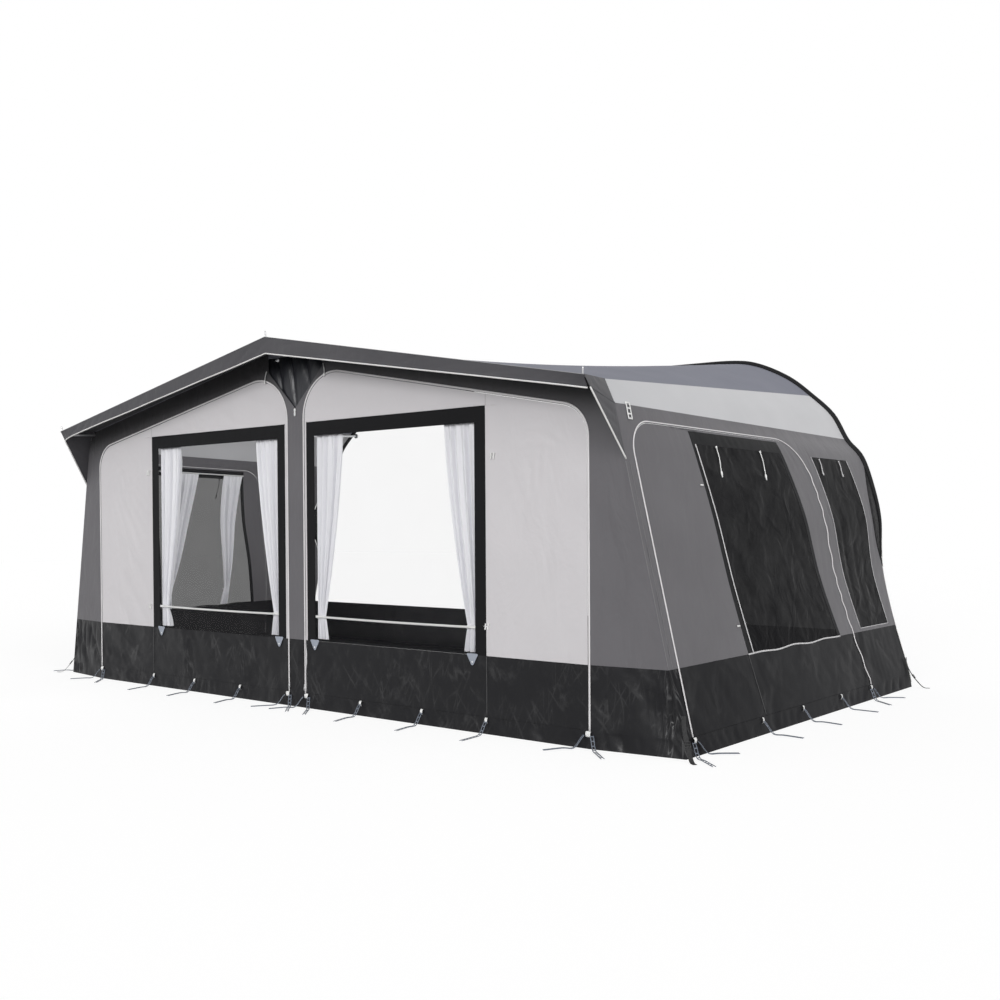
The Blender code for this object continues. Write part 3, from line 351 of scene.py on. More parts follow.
# Woven face of coated canvas: a plain weave, the soft mottle of its dye, and shallow crinkles
# that run longer upright than across. Every canvas of the awning has it.
sockets = {"Place": None, "Thread": None, "Crinkles per metre": 9.0}
weave, add, taken, given = face_group("canvas_face", sockets, ("Mottle", "Weave", "Crinkle"))
threads = add("VectorMath", {0: taken["Thread"], "Scale": THREADS_PER_METRE}, operation="SCALE")
warp, weft = (add("SINE", axis) for axis in add("SeparateXYZ", threads).outputs[:2])
pulled = add("VectorMath", taken["Place"], (1.0, 1.0, 0.45), operation="MULTIPLY")
fed(given, {"Weave": add("MULTIPLY", warp, weft),
            "Mottle": add("TexNoise", {"Vector": taken["Place"], "Scale": 3.0, "Detail": 3.0}),
            "Crinkle": add("TexNoise", {"Vector": pulled, "Scale": taken["Crinkles per metre"],
                                        "Detail": 4.0, "Roughness": 0.55, "Distortion": 0.6})})


def canvas(name, colours, roughness, depth=0.004, crinkles=9.0, sheen=0.15, shine=0.30, more={}):
    """Coated canvas: two close colours in its mottle, over weave and crinkles as bumps."""
    made, add, shader = material(name)
    face = add("Group", {"Place": add("TexCoord").outputs["Object"], "Thread": add("UVMap", uv_map="cloth"),
                         "Crinkles per metre": crinkles}, node_tree=weave).outputs
    soft = add("Bump", {"Height": face["Crinkle"], "Distance": depth})
    fed(shader, {
        "Base Color": add("Mix", {0: face["Mottle"], 6: colours[0], 7: colours[1]}, data_type="RGBA"),
        "Roughness": add("MapRange", {0: face["Mottle"], 3: roughness - 0.05, 4: roughness + 0.07}),
        "Normal": add("Bump", {"Height": face["Weave"], "Distance": 0.00012, "Strength": 0.5,
                               "Normal": soft}),
        "Specular IOR Level": shine, "Sheen Weight": sheen, **more})
    return made


roof_blue = canvas("roof_blue_grey", BLUE_GREYS, 0.60, depth=0.003, crinkles=4.0, sheen=0.0, shine=0.05)
roof_pale = canvas("roof_pale_grey", DROP_GREYS, 0.60, depth=0.003, crinkles=4.0)

s, t = np.meshgrid(np.linspace(-1, 1, 161), shares(60))
rear_half, roof_cut = rail_x(REAR_CREASE_Z), points(s * 2.3, t * 3.0)
slopes = points(s * mixed(CREASE_HALF, rear_half, t), FRONT_Y + DEPTH * t,
                mixed(ridge_z(s * CREASE_HALF), rail_z(np.abs(s) * rear_half), t))
swell = t * creases(roof_cut, (0.004, 0.15, 0.30, 11))
slopes[..., 2] -= hump(np.abs(s)) * (ROOF_SAG * np.sin(math.pi * t) + swell)
slopes[..., 2] -= creases(roof_cut, (0.006, 0.10, 0.16, 13)) * hump(np.abs(s)) ** 0.5 * t ** 4 * (1 - t ** 30)
piece("roof_slopes", [slopes], roof_blue, "roof_canvas", "roof", out=UP, flat=(4.95, 3.02),
      rests_on=ROOF_FRAME)

t, v = np.meshgrid(shares(60), shares(16))
front_z, rear_z = mixed(CREASE_Z, SEAM_Z, v), mixed(REAR_CREASE_Z, SEAM_Z, v)
drop = points(mixed(corner_x(front_z), rail_x(rear_z), t), FRONT_Y + DEPTH * t, mixed(front_z, rear_z, t))
drop[..., 0] -= creases(points(t * 3.0, v * 0.3), (0.005, 0.35, 0.16, 12)) * hump(v) * t ** 2
for side, name in SIDES:
    piece("roof_drop_" + name, [drop * (side, 1, 1)], roof_pale, "roof_canvas", "roof", out=(side, 0, 0),
          flat=(0.45, 3.05), area=0.27 * 3.02, rests_on=["roof_pole_" + name])


# Rail bead and edge band: a white cord welded in the roof's and walls' rear edge slides in the
# caravan's rail, and a black rubber band beside it closes the roof's edge against the rail.
BEAD_R, GAP = 0.0045, 0.0003
BAND_WIDTH, BAND_HEIGHT = 0.050, 0.044
BAND_FOOT_Z, BAND_FULL_Z = 0.900, 1.700
RUBBER_BEND = 1.22


def unit(v):
    """Vectors scaled to a length of one."""
    return v / np.linalg.norm(v, axis=-1, keepdims=True)


def carried(path, out, wide, high=None, sides=10, girth=1.0):
    """An oval carried along a path: half its width times a cosine goes across, which is out
    crossed with the path's direction, half its height, or its width where it is round, times a
    sine goes out, and both are scaled by the girth there. The two ends close on their middles."""
    path = np.asarray(path, float)
    way = unit(np.gradient(path, axis=0))
    out = np.broadcast_to(np.asarray(out, float), path.shape)
    out = unit(out - way * np.sum(out * way, -1, keepdims=True))
    turn = np.linspace(0, math.tau, sides + 1)[:, None]
    ring = wide * np.cos(turn) * np.cross(out, way)[:, None] + (high or wide) * np.sin(turn) * out[:, None]
    rings = path[:, None] + np.reshape(girth, (-1, 1, 1)) * ring / 2
    ends = [np.broadcast_to(rings[k, :-1].mean(0), rings[:1].shape) for k in (0, -1)]
    return np.concatenate([ends[0], rings, ends[1]])


def moulded(name, colour, roughness, grain=220.0, depth=0.0002, more={}):
    """Moulded or drawn material: one colour a little darker in its grain, with a fine bump."""
    made, add, shader = material(name)
    place = add("TexCoord").outputs["Object"]
    fine = add("TexNoise", {"Vector": place, "Scale": grain, "Detail": 3.0})
    broad = add("TexNoise", {"Vector": place, "Scale": 7.0, "Detail": 2.0})
    fed(shader, {
        "Base Color": add("Mix", {0: broad, 6: colour, 7: np.multiply(colour, 0.86)}, data_type="RGBA"),
        "Roughness": add("MapRange", {0: broad, 3: roughness - 0.06, 4: roughness + 0.08}),
        "Normal": add("Bump", {"Height": fine, "Distance": depth}), **more})
    return made


white_plastic = moulded("white_plastic", (0.86, 0.86, 0.85), 0.38)
black_rubber = moulded("black_rubber", (0.010, 0.010, 0.011), 0.50, more={"IOR": RUBBER_BEND})

half_rail = RAIL[RAIL[:, 1] > 0.03]
outline = np.vstack([half_rail[::-1], half_rail[1:] * (-1, 1)])
slope = unit(np.gradient(outline, axis=0))
outward = points(-slope[:, 1], 0, slope[:, 0])
outward *= np.where(np.sum(outward[:, ::2] * outline, -1) < 0, -1, 1)[:, None]
bead = points(outline[:, 0], RAIL_Y + GAP + BEAD_R, outline[:, 1]) - outward * CLOTH / 2
piece("rail_bead_cord", [carried(bead, outward, 2 * BEAD_R, sides=12)], white_plastic, "white_plastic",
      "rail_bead")

high = outline[:, 1] > BAND_FOOT_Z
band = points(outline[high, 0], RAIL_Y - BAND_WIDTH / 2, outline[high, 1])
slim = np.interp(band[:, 2], (BAND_FOOT_Z, BAND_FULL_Z), (0.25, 1.0))
piece("roof_edge_band", [carried(band, outward[high], BAND_WIDTH, BAND_HEIGHT, 12, slim)], black_rubber,
      "black_plastic")


# Visor: a dark canvas hood sewn to the roof's front edge, turned down into a valance whose foot
# is bound with white piping. A steel pin of each roof pole stands up through an eyelet in it.
EAVE_Y = FRONT_Y - 0.25
EAVE_HALF, EAVE_Z, EAVE_APEX_Z = 2.305, 1.900, 2.350
VALANCE_APEX, VALANCE_END = 0.100, 0.060
GUSSET_FOOT_Z = 1.497
PIPING, PIN, PIN_HIGH, EYELET_R = 0.0090, 0.0096, 0.044, 0.009
VISOR_GREYS = (0.090, 0.088, 0.095), (0.062, 0.061, 0.067)

visor_canvas = canvas("visor_canvas", VISOR_GREYS, 0.46, depth=0.012, crinkles=5.0, sheen=0.04, shine=0.18)
piping = moulded("white_piping", (0.80, 0.79, 0.78), 0.42, depth=0.0001)
steel = moulded("steel_pin", (0.55, 0.55, 0.56), 0.30, more={"Metallic": 1.0})
# Painted highlight: the pale grey bead along the hood's front edge stands for the light caught on the fold
# there.
edge_highlight = moulded("visor_edge_seam", (0.30, 0.30, 0.31), 0.5, grain=600.0, depth=0.0004)


def eave_z(s):
    """Height of the visor's front edge: straight from its apex to each end."""
    return mixed(EAVE_APEX_Z, EAVE_Z, np.abs(s))


def valance_foot(s):
    """The foot of the valance, a little wavy, below the eave by its height there."""
    wave = 0.0035 * np.sin(19 * s + 1) * np.sin(7 * s) * (1 - s ** 8)
    tuck = (FRONT_Y - EAVE_Y) * VALANCE_END / (EAVE_Z - GUSSET_FOOT_Z) * np.abs(s) ** 24
    drop = mixed(VALANCE_APEX, VALANCE_END, np.abs(s))
    return points(EAVE_HALF * s, EAVE_Y + 0.002 + wave + tuck, eave_z(s) - drop)


s, t = np.meshgrid(np.linspace(-1, 1, 241), shares(10))
hood = points(s * mixed(CREASE_HALF, EAVE_HALF, t), mixed(FRONT_Y, EAVE_Y, t),
              mixed(ridge_z(CREASE_HALF * s), eave_z(s), t))
hood[..., 2] -= creases(points(s * 2.3, t * 0.25), (0.006, 1.32, 0.10, 21), (0.004, 0.5, 0.26, 24)) * hump(t)
s, t = np.meshgrid(np.linspace(-1, 1, 241), shares(12))
valance = mixed(points(EAVE_HALF * s, EAVE_Y, eave_z(s)), valance_foot(s), t[..., None])
ripples = creases(points(s * 2.3, t * 0.1), (0.007, 1.0, 0.09, 22))
valance[..., 1] += ripples * hump(t) + 0.004 * t * (1 - s ** 8)
piece("visor_hood", [hood, valance], visor_canvas, "visor_canvas", "visor", flat=(0.36, 4.72),
      rests_on=ROOF_FRAME)
piece("visor_piping", [carried(valance[-1] - (0, 0, PIPING / 4), FORWARD, PIPING)], piping, "piping")
# The hood's front edge: a bead coloured pale as painted highlight along the fold.
piece("visor_edge_seam", [carried(hood[-1] + (0, -0.0012, 0.0006), (0, -1, 1), 0.0045, 0.0022, 8)], edge_highlight,
      "visor_canvas")

pins, spin = [], math.tau * shares(16)
for x, z in ((-EAVE_HALF, EAVE_Z), (0, EAVE_APEX_Z), (EAVE_HALF, EAVE_Z)):
    x, y = x * 0.995, EAVE_Y + 0.012
    rise = shares(6)[:, None] * (0.006 * np.sign(x), -0.008, PIN_HIGH) + (x, y, z - 0.006)
    eyelet = points(x + EYELET_R * np.cos(spin), y + EYELET_R * np.sin(spin), z + 0.001)
    pins += [carried(rise, FORWARD, PIN, sides=8), carried(eyelet, UP, 0.004, 0.003, 8)]
piece("visor_pins", pins, steel, "pole_aluminium")


# Gussets: dark triangles that close the visor's ends, with a seam where the roof's seam runs on
# and white piping on the free edge.
WALL_OFF, EAVE_OFF, LAP = 0.004, 0.002, 0.010


def run(corners, steps):
    """Straight stretches through corners, each shared into its own number of steps."""
    knots = np.append(0, np.cumsum(steps))
    at = np.arange(knots[-1] + 1)
    return np.stack([np.interp(at, knots, line) for line in np.array(corners, float).T], -1)


def ruled(a, b, rows):
    """The grid of straight lines from each point of one edge to the like point of another."""
    return mixed(a, b, shares(rows)[:, None, None])


def bow(rows):
    """A hump down the rows of a grid."""
    return hump(shares(rows))[:, None]


eave_end = np.array((EAVE_HALF + EAVE_OFF, EAVE_Y, EAVE_Z + EAVE_OFF))
foot_end = points(corner_x(GUSSET_FOOT_Z) + WALL_OFF, corner_y(GUSSET_FOOT_Z) + LAP, GUSSET_FOOT_Z)
valance_end = mixed(eave_end, foot_end, VALANCE_END / (EAVE_Z - GUSSET_FOOT_Z))
free_edge = run([eave_end, valance_end, foot_end], [8, 24])
wall_edge = run([(CREASE_HALF + WALL_OFF, FRONT_Y + LAP, CREASE_Z + EAVE_OFF),
                 (SEAM_HALF + WALL_OFF, FRONT_Y + LAP, SEAM_Z), foot_end], [8, 24])
gusset = ruled(free_edge, wall_edge, 12)
gusset[..., 0] -= creases(gusset[..., 1:], (0.005, 0.9, 0.07, 23)) * bow(12)
pair("gusset_", [gusset], visor_canvas, "visor_canvas", "visor_gusset_", out=ASIDE, flat=(0.26, 0.42),
     area=0.060)
pair("gusset_piping_", [carried(gusset[0, 8:], ASIDE, PIPING)], piping, "piping")
pair("gusset_seam_", [carried(gusset[:, 8] + (0.001, 0, 0), ASIDE, 0.008, 0.002)], visor_canvas,
     "visor_canvas")


# Front wall: mid-grey canvas sewn in one round the two zip-out panels. It is the header under
# the roof, the mullion in the middle and the strips to the corners, with the vent left open.
# Its colour carries painted shade, darker towards the roof line as if in the visor's shadow.
ZIP_IN, ZIP_OUT = 0.083, 2.177
MUD_TOP = 0.437
ARCH_IN_Z, ARCH_IN_R = 2.189, 0.27
ARCH_OUT_Z, ARCH_OUT_R = 1.7685, 0.18
VENT_Z, VENT_HALF, VENT_TOP = 1.930, 0.250, 2.180
TOP_GAP = 0.004
PAINTED_SHADE_REACH, PAINTED_SHADE_AT_TOP = 0.46, 0.34
MID_GREYS = (0.130, 0.126, 0.135), (0.108, 0.104, 0.112)

grey_canvas = canvas("grey_canvas", MID_GREYS, 0.62, depth=0.009, crinkles=5.0)
front_canvas_painted_shade = canvas("front_grey_canvas", MID_GREYS, 0.62, depth=0.012, crinkles=6.0)
# Painted shade: the base colour is multiplied down by the height under the roof line, darkest just under it,
# standing in for the visor's shadow on the header.
add, shader = adder(front_canvas_painted_shade.node_tree), front_canvas_painted_shade.node_tree.nodes["Principled BSDF"]
x, _, z = add("SeparateXYZ", add("TexCoord").outputs["Object"]).outputs
under = add("SUBTRACT", add("MULTIPLY_ADD", add("ABSOLUTE", x), (CREASE_Z - APEX_Z) / CREASE_HALF, APEX_Z), z)
painted_shade = add("MapRange", under, 0.02, PAINTED_SHADE_REACH, PAINTED_SHADE_AT_TOP, 1.0, interpolation_type="SMOOTHSTEP")
dyed = shader.inputs["Base Color"].links[0].from_socket
fed(shader, {"Base Color": add("Mix", {0: 1.0, 6: dyed, 7: painted_shade}, data_type="RGBA", blend_type="MULTIPLY")})


def front_at(cut, lift=0.0):
    """Points of the front wall: flat between the outer zips, bent back beyond them to the corner,
    and lifted forward."""
    x, z = cut[..., 0], cut[..., 1]
    bend = np.clip(np.abs(x) - ZIP_OUT, 0, None) / (corner_x(z) - ZIP_OUT)
    return points(x, mixed(FRONT_Y, corner_y(z), bend) - lift, z)


def fillet(before, corner, after, radius, steps):
    """The arc that rounds a corner: its centre is on the corner's bisector, the radius over the
    sine of half the angle away, and it turns from one side's touching point to the other's."""
    before, corner, after = (np.array(p, float) for p in (before, corner, after))
    back, ahead = unit(before - corner), unit(after - corner)
    half = math.acos(back @ ahead) / 2
    centre = corner + unit(back + ahead) * radius / math.sin(half)
    start, end = (corner + way * radius / math.tan(half) - centre for way in (back, ahead))
    spin = math.atan2(start[0] * end[1] - start[1] * end[0], start @ end) * shares(steps)
    return centre + points(start[0] * np.cos(spin) - start[1] * np.sin(spin),
                           start[0] * np.sin(spin) + start[1] * np.cos(spin))


def arched(corners, radii, steps):
    """A line through four corners with its middle two rounded: straight, arc, straight, arc and
    straight, each in its own number of steps."""
    first = fillet(*corners[:3], radii[0], steps[1])
    last = fillet(*corners[1:], radii[1], steps[3])
    rise, across, fall = (run(ends, n) for ends, n in (([corners[0], first[0]], steps[0]),
                                                       ([first[-1], last[0]], steps[2]),
                                                       ([last[-1], corners[3]], steps[4])))
    return np.vstack([rise[:-1], first, across[1:-1], last, fall[1:]])


def arch(inset):
    """The right opening's outline in (x, z) over the mudwall, from the inner zip up, over and
    down the outer zip, moved in by an inset."""
    low, high = ZIP_IN + inset, ZIP_OUT - inset
    return arched([(low, MUD_TOP), (low, ARCH_IN_Z - inset), (high, ARCH_OUT_Z - inset), (high, MUD_TOP)],
                  (ARCH_IN_R - inset, ARCH_OUT_R - inset), (24, 16, 48, 14, 24))


def flat_area(cut):
    """The area of a flat cut: half the crossed diagonals of each quad, summed."""
    one, two = cut[1:, 1:] - cut[:-1, :-1], cut[1:, :-1] - cut[:-1, 1:]
    return float(np.abs(one[..., 0] * two[..., 1] - one[..., 1] * two[..., 0]).sum() / 2)


top_edge = [(x, ridge_z(x) - TOP_GAP) for x in (VENT_HALF, CREASE_HALF - 0.002)]
border = run([(0, MUD_TOP), (0, VENT_Z), (VENT_HALF, VENT_TOP), *top_edge, (SEAM_HALF, SEAM_Z),
              (corner_x(MUD_TOP), MUD_TOP)], [24, 16, 8, 40, 14, 24])
cut = ruled(arch(0), border, 14)
from_corner = corner_x(cut[..., 1]) - cut[..., 0]
gathers = creases(points(from_corner, cut[..., 1] * 0.15), (0.009, 0.0, 0.10, 33))
gathers *= np.exp(-(from_corner / 0.26) ** 2)
header = front_at(cut, -bow(14) * (creases(cut, (0.005, 0.1, 0.13, 31), (0.004, -0.7, 0.09, 32)) + gathers))
for name, columns, flat in (("mullion", slice(0, 25), (0.17, 1.50)), ("header", slice(24, 89), (0.40, 2.25)),
                            ("corner", slice(88, None), (0.45, 1.55))):
    part, area = header[:, columns], flat_area(cut[:, columns])
    left, right = part * (-1, 1, 1), part
    sewn = {"middle": [left, right]} if name == "mullion" else {"left": [left], "right": [right]}
    for label, grids in sewn.items():
        piece(f"front_{name}_{label}", grids, front_canvas_painted_shade, "grey_canvas", "front_wall", out=FORWARD,
              flat=flat, area=area * len(grids), rests_on=["centre_upright"])


# Vent: a V left open under the apex, filled by pleated dark film with a net behind it. A white
# slider rides on the film's foot and a short cord with a toggle hangs at each upper corner.
VENT_BACK, VENT_LAP = 0.010, 0.012
PLEATS, PLEAT_DEEP = 4, 0.024
CORD = 0.0056

vent_film, add, shader = material("vent_film")
drawn = add("VectorMath", add("TexCoord").outputs["Object"], (26.0, 9.0, 7.0), operation="MULTIPLY")
folds = add("TexNoise", {"Vector": drawn, "Scale": 1.0, "Detail": 3.0, "Distortion": 0.8})
fed(shader, {"Base Color": (0.018, 0.019, 0.024), "Roughness": 0.30, "Specular IOR Level": 0.40,
             "Normal": add("Bump", {"Height": folds, "Distance": 0.004})})

s, t = np.meshgrid(np.linspace(-1, 1, 97), shares(24))
vent_top = np.minimum(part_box("vent_net")[1].z + 0.009, ridge_z(s * VENT_HALF) - 0.008)
vent_foot = mixed(VENT_Z, VENT_TOP, np.abs(s)) - VENT_LAP
pleat = (1 - np.abs(np.sin(math.pi * PLEATS * (s * 0.5 + 0.12 * t)))) ** 1.5
pleat *= (0.35 + 0.65 * t) * (1 - s ** 12)
vent = points((VENT_HALF + VENT_LAP) * s, FRONT_Y + VENT_BACK + PLEAT_DEEP * pleat,
              mixed(vent_foot, vent_top, t))
piece("vent_film", [vent], vent_film, "vent_net", "vent_net", out=FORWARD, thick=0.0, flat=(0.62, 0.36),
      held="gathered", area=0.125)

tag = points(0, FRONT_Y - 0.004, VENT_Z - 0.052 + 0.050 * shares(8))
bits = [carried(tag, FORWARD, 0.016, 0.007, girth=[0.6, 1, 1, 1, 0.9, 0.8, 1.1, 1.1, 0.7])]
t = shares(24)
for side, _ in SIDES:
    hung = points(side * (VENT_HALF + VENT_LAP + 0.014 * np.sin(2.2 * t)), FRONT_Y - 0.006 - 0.004 * t,
                  VENT_TOP + 0.012 - 0.085 * t)
    bits.append(carried(hung, FORWARD, CORD, sides=8, girth=np.interp(t, (0, 0.72, 0.76, 0.92, 0.96, 1),
                                                                      (1, 1, 2.3, 2.3, 1.2, 1.2))))
piece("vent_cords", bits, white_plastic, "white_plastic")


# Front panels: pale canvas arches that zip out of the wall, each with a black bordered window.
# The cloth is cut round the window, pulls in creases to the outer arch and ripples above it.
ZIP_GAP = 0.002
WINDOW, WINDOW_TOP = (0.100, 1.522), 1.834
PALE_GREYS = (0.625, 0.605, 0.620), (0.590, 0.572, 0.588)

pale_canvas = canvas("pale_canvas", PALE_GREYS, 0.66, depth=0.012, crinkles=5.0, sheen=0.05)


def tensions(cut):
    """How far the panel's cloth stands back: fan creases from the outer arch corner, short
    upright ripples over the window, and slow waves down the broad outer strip."""
    x, z = cut[..., 0], cut[..., 1]
    away_x, away_z = ZIP_OUT - x, ARCH_OUT_Z - z
    reach = np.hypot(away_x, away_z)
    fan = creases(points(np.arctan2(away_z, away_x) * 0.55, reach * 0.25), (0.0100, 0.0, 0.085, 41))
    fan *= np.clip(reach / 0.3, 0, 1) * np.exp(-(reach / 0.95) ** 2)
    over = 0.0012 * np.sin(x * 41 + 2 * np.sin(x * 5)) * np.exp(-((z - WINDOW_TOP - 0.10) / 0.10) ** 2)
    over *= np.exp(-((x - 0.85) / 0.45) ** 4)
    calm = 1 - np.exp(-((x - WINDOW[1]) ** 2 + (z - WINDOW_TOP) ** 2) / 0.28 ** 2)
    return ((fan + creases(cut, (0.0055, -0.95, 0.21, 43))) * calm + over) * np.clip((x - 0.22) / 0.3, 0, 1)


def window_line(foot, head, top, steps):
    """A window's outline from the mudwall up one edge, over its top and down the other edge."""
    return run([(foot[0], MUD_TOP), (head[0], top), (head[1], top), (foot[1], MUD_TOP)], steps)


panel_cut = ruled(arch(ZIP_GAP), window_line(WINDOW, WINDOW, WINDOW_TOP, [24, 64, 38]), 44)
pair("front_panel_cloth_", [front_at(panel_cut, -tensions(panel_cut) * bow(44))], pale_canvas, "light_canvas",
     "front_panel_", body="front_door_", out=FORWARD, flat=(2.10, 1.76), area=flat_area(panel_cut))


# Zips of the front wall: white tape and teeth round each arch and down over the mudwall, and
# upright seams that carry the window border's edge up and down.
SKIRT_TOP = 0.095
ZIP_WIDTH, ZIP_PROUD, ZIP_OFF = 0.0115, 0.0040, 0.0075
STITCH_WIDTH, STITCH_PROUD = 0.0050, 0.0014

zip_white = moulded("zip_white", (0.74, 0.72, 0.73), 0.45, grain=900.0, depth=0.0006)
seam_pale = moulded("seam_pale", (0.47, 0.455, 0.465), 0.60, grain=700.0, depth=0.0004)
seam_dark = moulded("seam_dark", (0.045, 0.045, 0.047), 0.50, grain=700.0, depth=0.0004)

zip_low, zip_high = ZIP_IN - ZIP_OFF, ZIP_OUT + ZIP_OFF
zip_cut = np.vstack([run([(zip_low, SKIRT_TOP), (zip_low, MUD_TOP)], 12)[:-1], arch(-ZIP_OFF),
                     run([(zip_high, MUD_TOP), (zip_high, SKIRT_TOP)], 12)[1:]])
pair("front_zip_", [carried(front_at(zip_cut, 0.0020), FORWARD, ZIP_WIDTH, ZIP_PROUD)], zip_white, "piping")
seam_x = WINDOW[1] + 0.002
seam_top = mixed(ARCH_IN_Z, ARCH_OUT_Z, (seam_x - ZIP_IN) / (ZIP_OUT - ZIP_IN)) - 0.006
for label, off, low, high, steps, finish in (("seam", 0.0004, WINDOW_TOP, seam_top, 12, seam_pale),
                                             ("foot_seam", 0.0012, SKIRT_TOP + 0.01, MUD_TOP, 20, seam_dark)):
    seam = run([(seam_x, FRONT_Y - off, z) for z in (low, high)], steps)
    pair(f"front_panel_{label}_", [carried(seam, FORWARD, STITCH_WIDTH, STITCH_PROUD, 8)], finish,
         "light_canvas", body="front_door_")


# Front windows: a black welded border with a pale welt along its top, the mudwall's black cloth
# below it, and clear film with faint wrinkles along its edges.
BORDER_BLACKS = (0.010, 0.010, 0.011), (0.008, 0.008, 0.009)
PVC_BLACKS = (0.009, 0.009, 0.011), (0.013, 0.013, 0.014)
PANE, PANE_TOP = (0.172, 1.445), 1.742
FINE_CREASES = ((-0.62, (9.0, 1.1, 1.0)), (0.45, (14.0, 1.6, 1.0)), (0.02, (20.0, 2.0, 1.0)),
                (0.10, (34.0, 3.5, 1.0)))
BUNCH_Z = 0.2

border_black = canvas("border_black", BORDER_BLACKS, 0.42, crinkles=5.0, sheen=0.0, more={"IOR": RUBBER_BEND})

# Crumpled face of black PVC and film: long soft folds that bend about, and the dust on them
crumple, add, taken, given = face_group("crumpled_pvc", {"Place": None, "Folds per metre": 5.0},
                                        ("Fold", "Dust"))
bent = add("TexNoise", {"Vector": taken["Place"], "Scale": 2.2, "Detail": 3.0}).outputs["Color"]
shift = add("VectorMath", {0: bent, "Scale": 0.35}, operation="SCALE")
fed(given, {
    "Fold": add("TexNoise", {"Vector": add("VectorMath", taken["Place"], shift, operation="ADD"),
                             "Scale": taken["Folds per metre"], "Detail": 2.0, "Roughness": 0.45,
                             "Distortion": 0.7}),
    "Dust": add("TexNoise", {"Vector": taken["Place"], "Scale": 5.0, "Detail": 6.0, "Roughness": 0.7})})


def film(name, colour, outside, inside, roughness, folds, depth, bend):
    """Flexible film: glossy, wavy in its bumps, and denser seen from outside than from inside; that
    extra density from outside is painted shade, darkening the view in through the film.
    """
    made, add, shader = material(name)
    face = add("Group", {"Place": add("TexCoord").outputs["Object"], "Folds per metre": folds},
               node_tree=crumple).outputs
    dense = add("Mix", {0: add("NewGeometry").outputs["Backfacing"], 2: outside, 3: inside})
    fed(shader, {"Base Color": colour, "Roughness": roughness, "IOR": bend,
                 "Alpha": add("ADD", dense, add("MapRange", {0: face["Dust"], 3: -0.02, 4: 0.02})),
                 "Normal": add("Bump", {"Height": face["Fold"], "Distance": depth})})
    return made


def black_pvc(name, depth, coat, level):
    """Black PVC cloth: deep soft folds, a thin polish along fine creases where its dust is worn
    away, and the most of them close to the front corners, where the cloth is bunched."""
    made, add, shader = material(name)
    place = add("TexCoord").outputs["Object"]
    face = add("Group", {"Place": place, "Folds per metre": 1.6}, node_tree=crumple).outputs
    x, y, z = add("SeparateXYZ", place).outputs
    unrolled = add("CombineXYZ", add("SUBTRACT", x, y), z)
    lines = []
    for lean, narrow in FINE_CREASES:
        turned = add("VectorRotate", {"Vector": unrolled, "Angle": lean}, rotation_type="Z_AXIS")
        drawn = add("VectorMath", turned, narrow, operation="MULTIPLY")
        grain = add("TexNoise", {"Vector": drawn, "Scale": 1.0, "Detail": 1.0, "Distortion": 0.3})
        lines.append(add("MapRange", add("ABSOLUTE", add("SUBTRACT", grain, 0.5)), 0.0, 0.030, 1.0, 0.0,
                         interpolation_type="SMOOTHSTEP"))
    corner = (float(corner_x(BUNCH_Z)), float(corner_y(BUNCH_Z)), 0.0)
    away = add("VectorMath", add("CombineXYZ", add("ABSOLUTE", x), y), corner, operation="DISTANCE")
    bunched = add("MapRange", away, 0.02, 0.15, 0.75, 0.0, interpolation_type="SMOOTHSTEP")
    patchy = add("MapRange", face["Dust"], 0.46, 0.62, 0.0, coat)
    shiny = add("MULTIPLY", add("MAXIMUM", add("MAXIMUM", lines[0], lines[1]), lines[2]), patchy)
    fed(shader, {
        "Base Color": add("Mix", {0: face["Dust"], 6: PVC_BLACKS[0], 7: PVC_BLACKS[1]}, data_type="RGBA"),
        "Roughness": add("MapRange", {0: face["Dust"], 3: 0.34, 4: 0.50}),
        "Normal": add("Bump", {"Height": face["Fold"], "Distance": depth}),
        "Coat Weight": add("MAXIMUM", shiny, add("MULTIPLY", lines[3], bunched)),
        "Coat IOR": 1.7, "Coat Roughness": 0.25, "IOR": 1.25, "Specular IOR Level": level})
    return made


clear_film = film("clear_film", (0.05, 0.05, 0.055), 0.085, 0.085, 0.08, 3.5, 0.012, 1.45)
# Smoke film: a dark tint of its own, with painted shade in its greater density from outside, which stands in
# for a shaded room behind the side and rear windows.
smoke_film = film("smoke_film", (0.006, 0.006, 0.007), 0.990, 0.845, 0.15, 6.0, 0.011, 1.08)
welt_white = moulded("welt_white", (0.62, 0.61, 0.62), 0.45, depth=0.0001)
pvc = black_pvc("crumpled_black_pvc", 0.080, 0.34, 0.50)
matt_pvc = black_pvc("matt_black_pvc", 0.030, 0.13, 0.22)


def sided(foot, low, head, high, columns, rows):
    """The grid of a flat cut with a level foot and head and straight edges between them."""
    lines = (run([(ends[0], z), (ends[1], z)], columns) for ends, z in ((foot, low), (head, high)))
    return ruled(*lines, rows)


border_cut = ruled(window_line(WINDOW, WINDOW, WINDOW_TOP, [40] * 3),
                   window_line(PANE, PANE, PANE_TOP, [40] * 3), 5)
border = front_at(border_cut, 0.0004 - creases(border_cut, (0.002, 0.8, 0.08, 51)) * bow(5))
pair("front_window_border_", [border], border_black, "dark_pvc", "front_window_surround_", body="front_door_",
     out=FORWARD, flat=(0.092, 4.30), area=flat_area(border_cut))

knee = (ZIP_IN + ZIP_GAP, ZIP_OUT - 0.001)
lower_cut = sided(knee, SKIRT_TOP + ZIP_GAP, knee, MUD_TOP, 90, 14)
sway = hump((lower_cut[..., 1] - SKIRT_TOP) / (MUD_TOP - SKIRT_TOP))
for side, name in SIDES:
    back = creases(lower_cut * (side, 0.8), (0.007, 0.5, 0.16, 52))
    back += creases(lower_cut * (side, 1), (0.005, -0.6, 0.09, 53))
    piece("front_panel_mudwall_" + name, [front_at(lower_cut, -back * sway) * (side, 1, 1)], pvc, "dark_pvc",
          "front_window_surround_" + name, body="front_door_" + name, out=FORWARD, flat=(2.10, 0.35),
          rests_on=[])

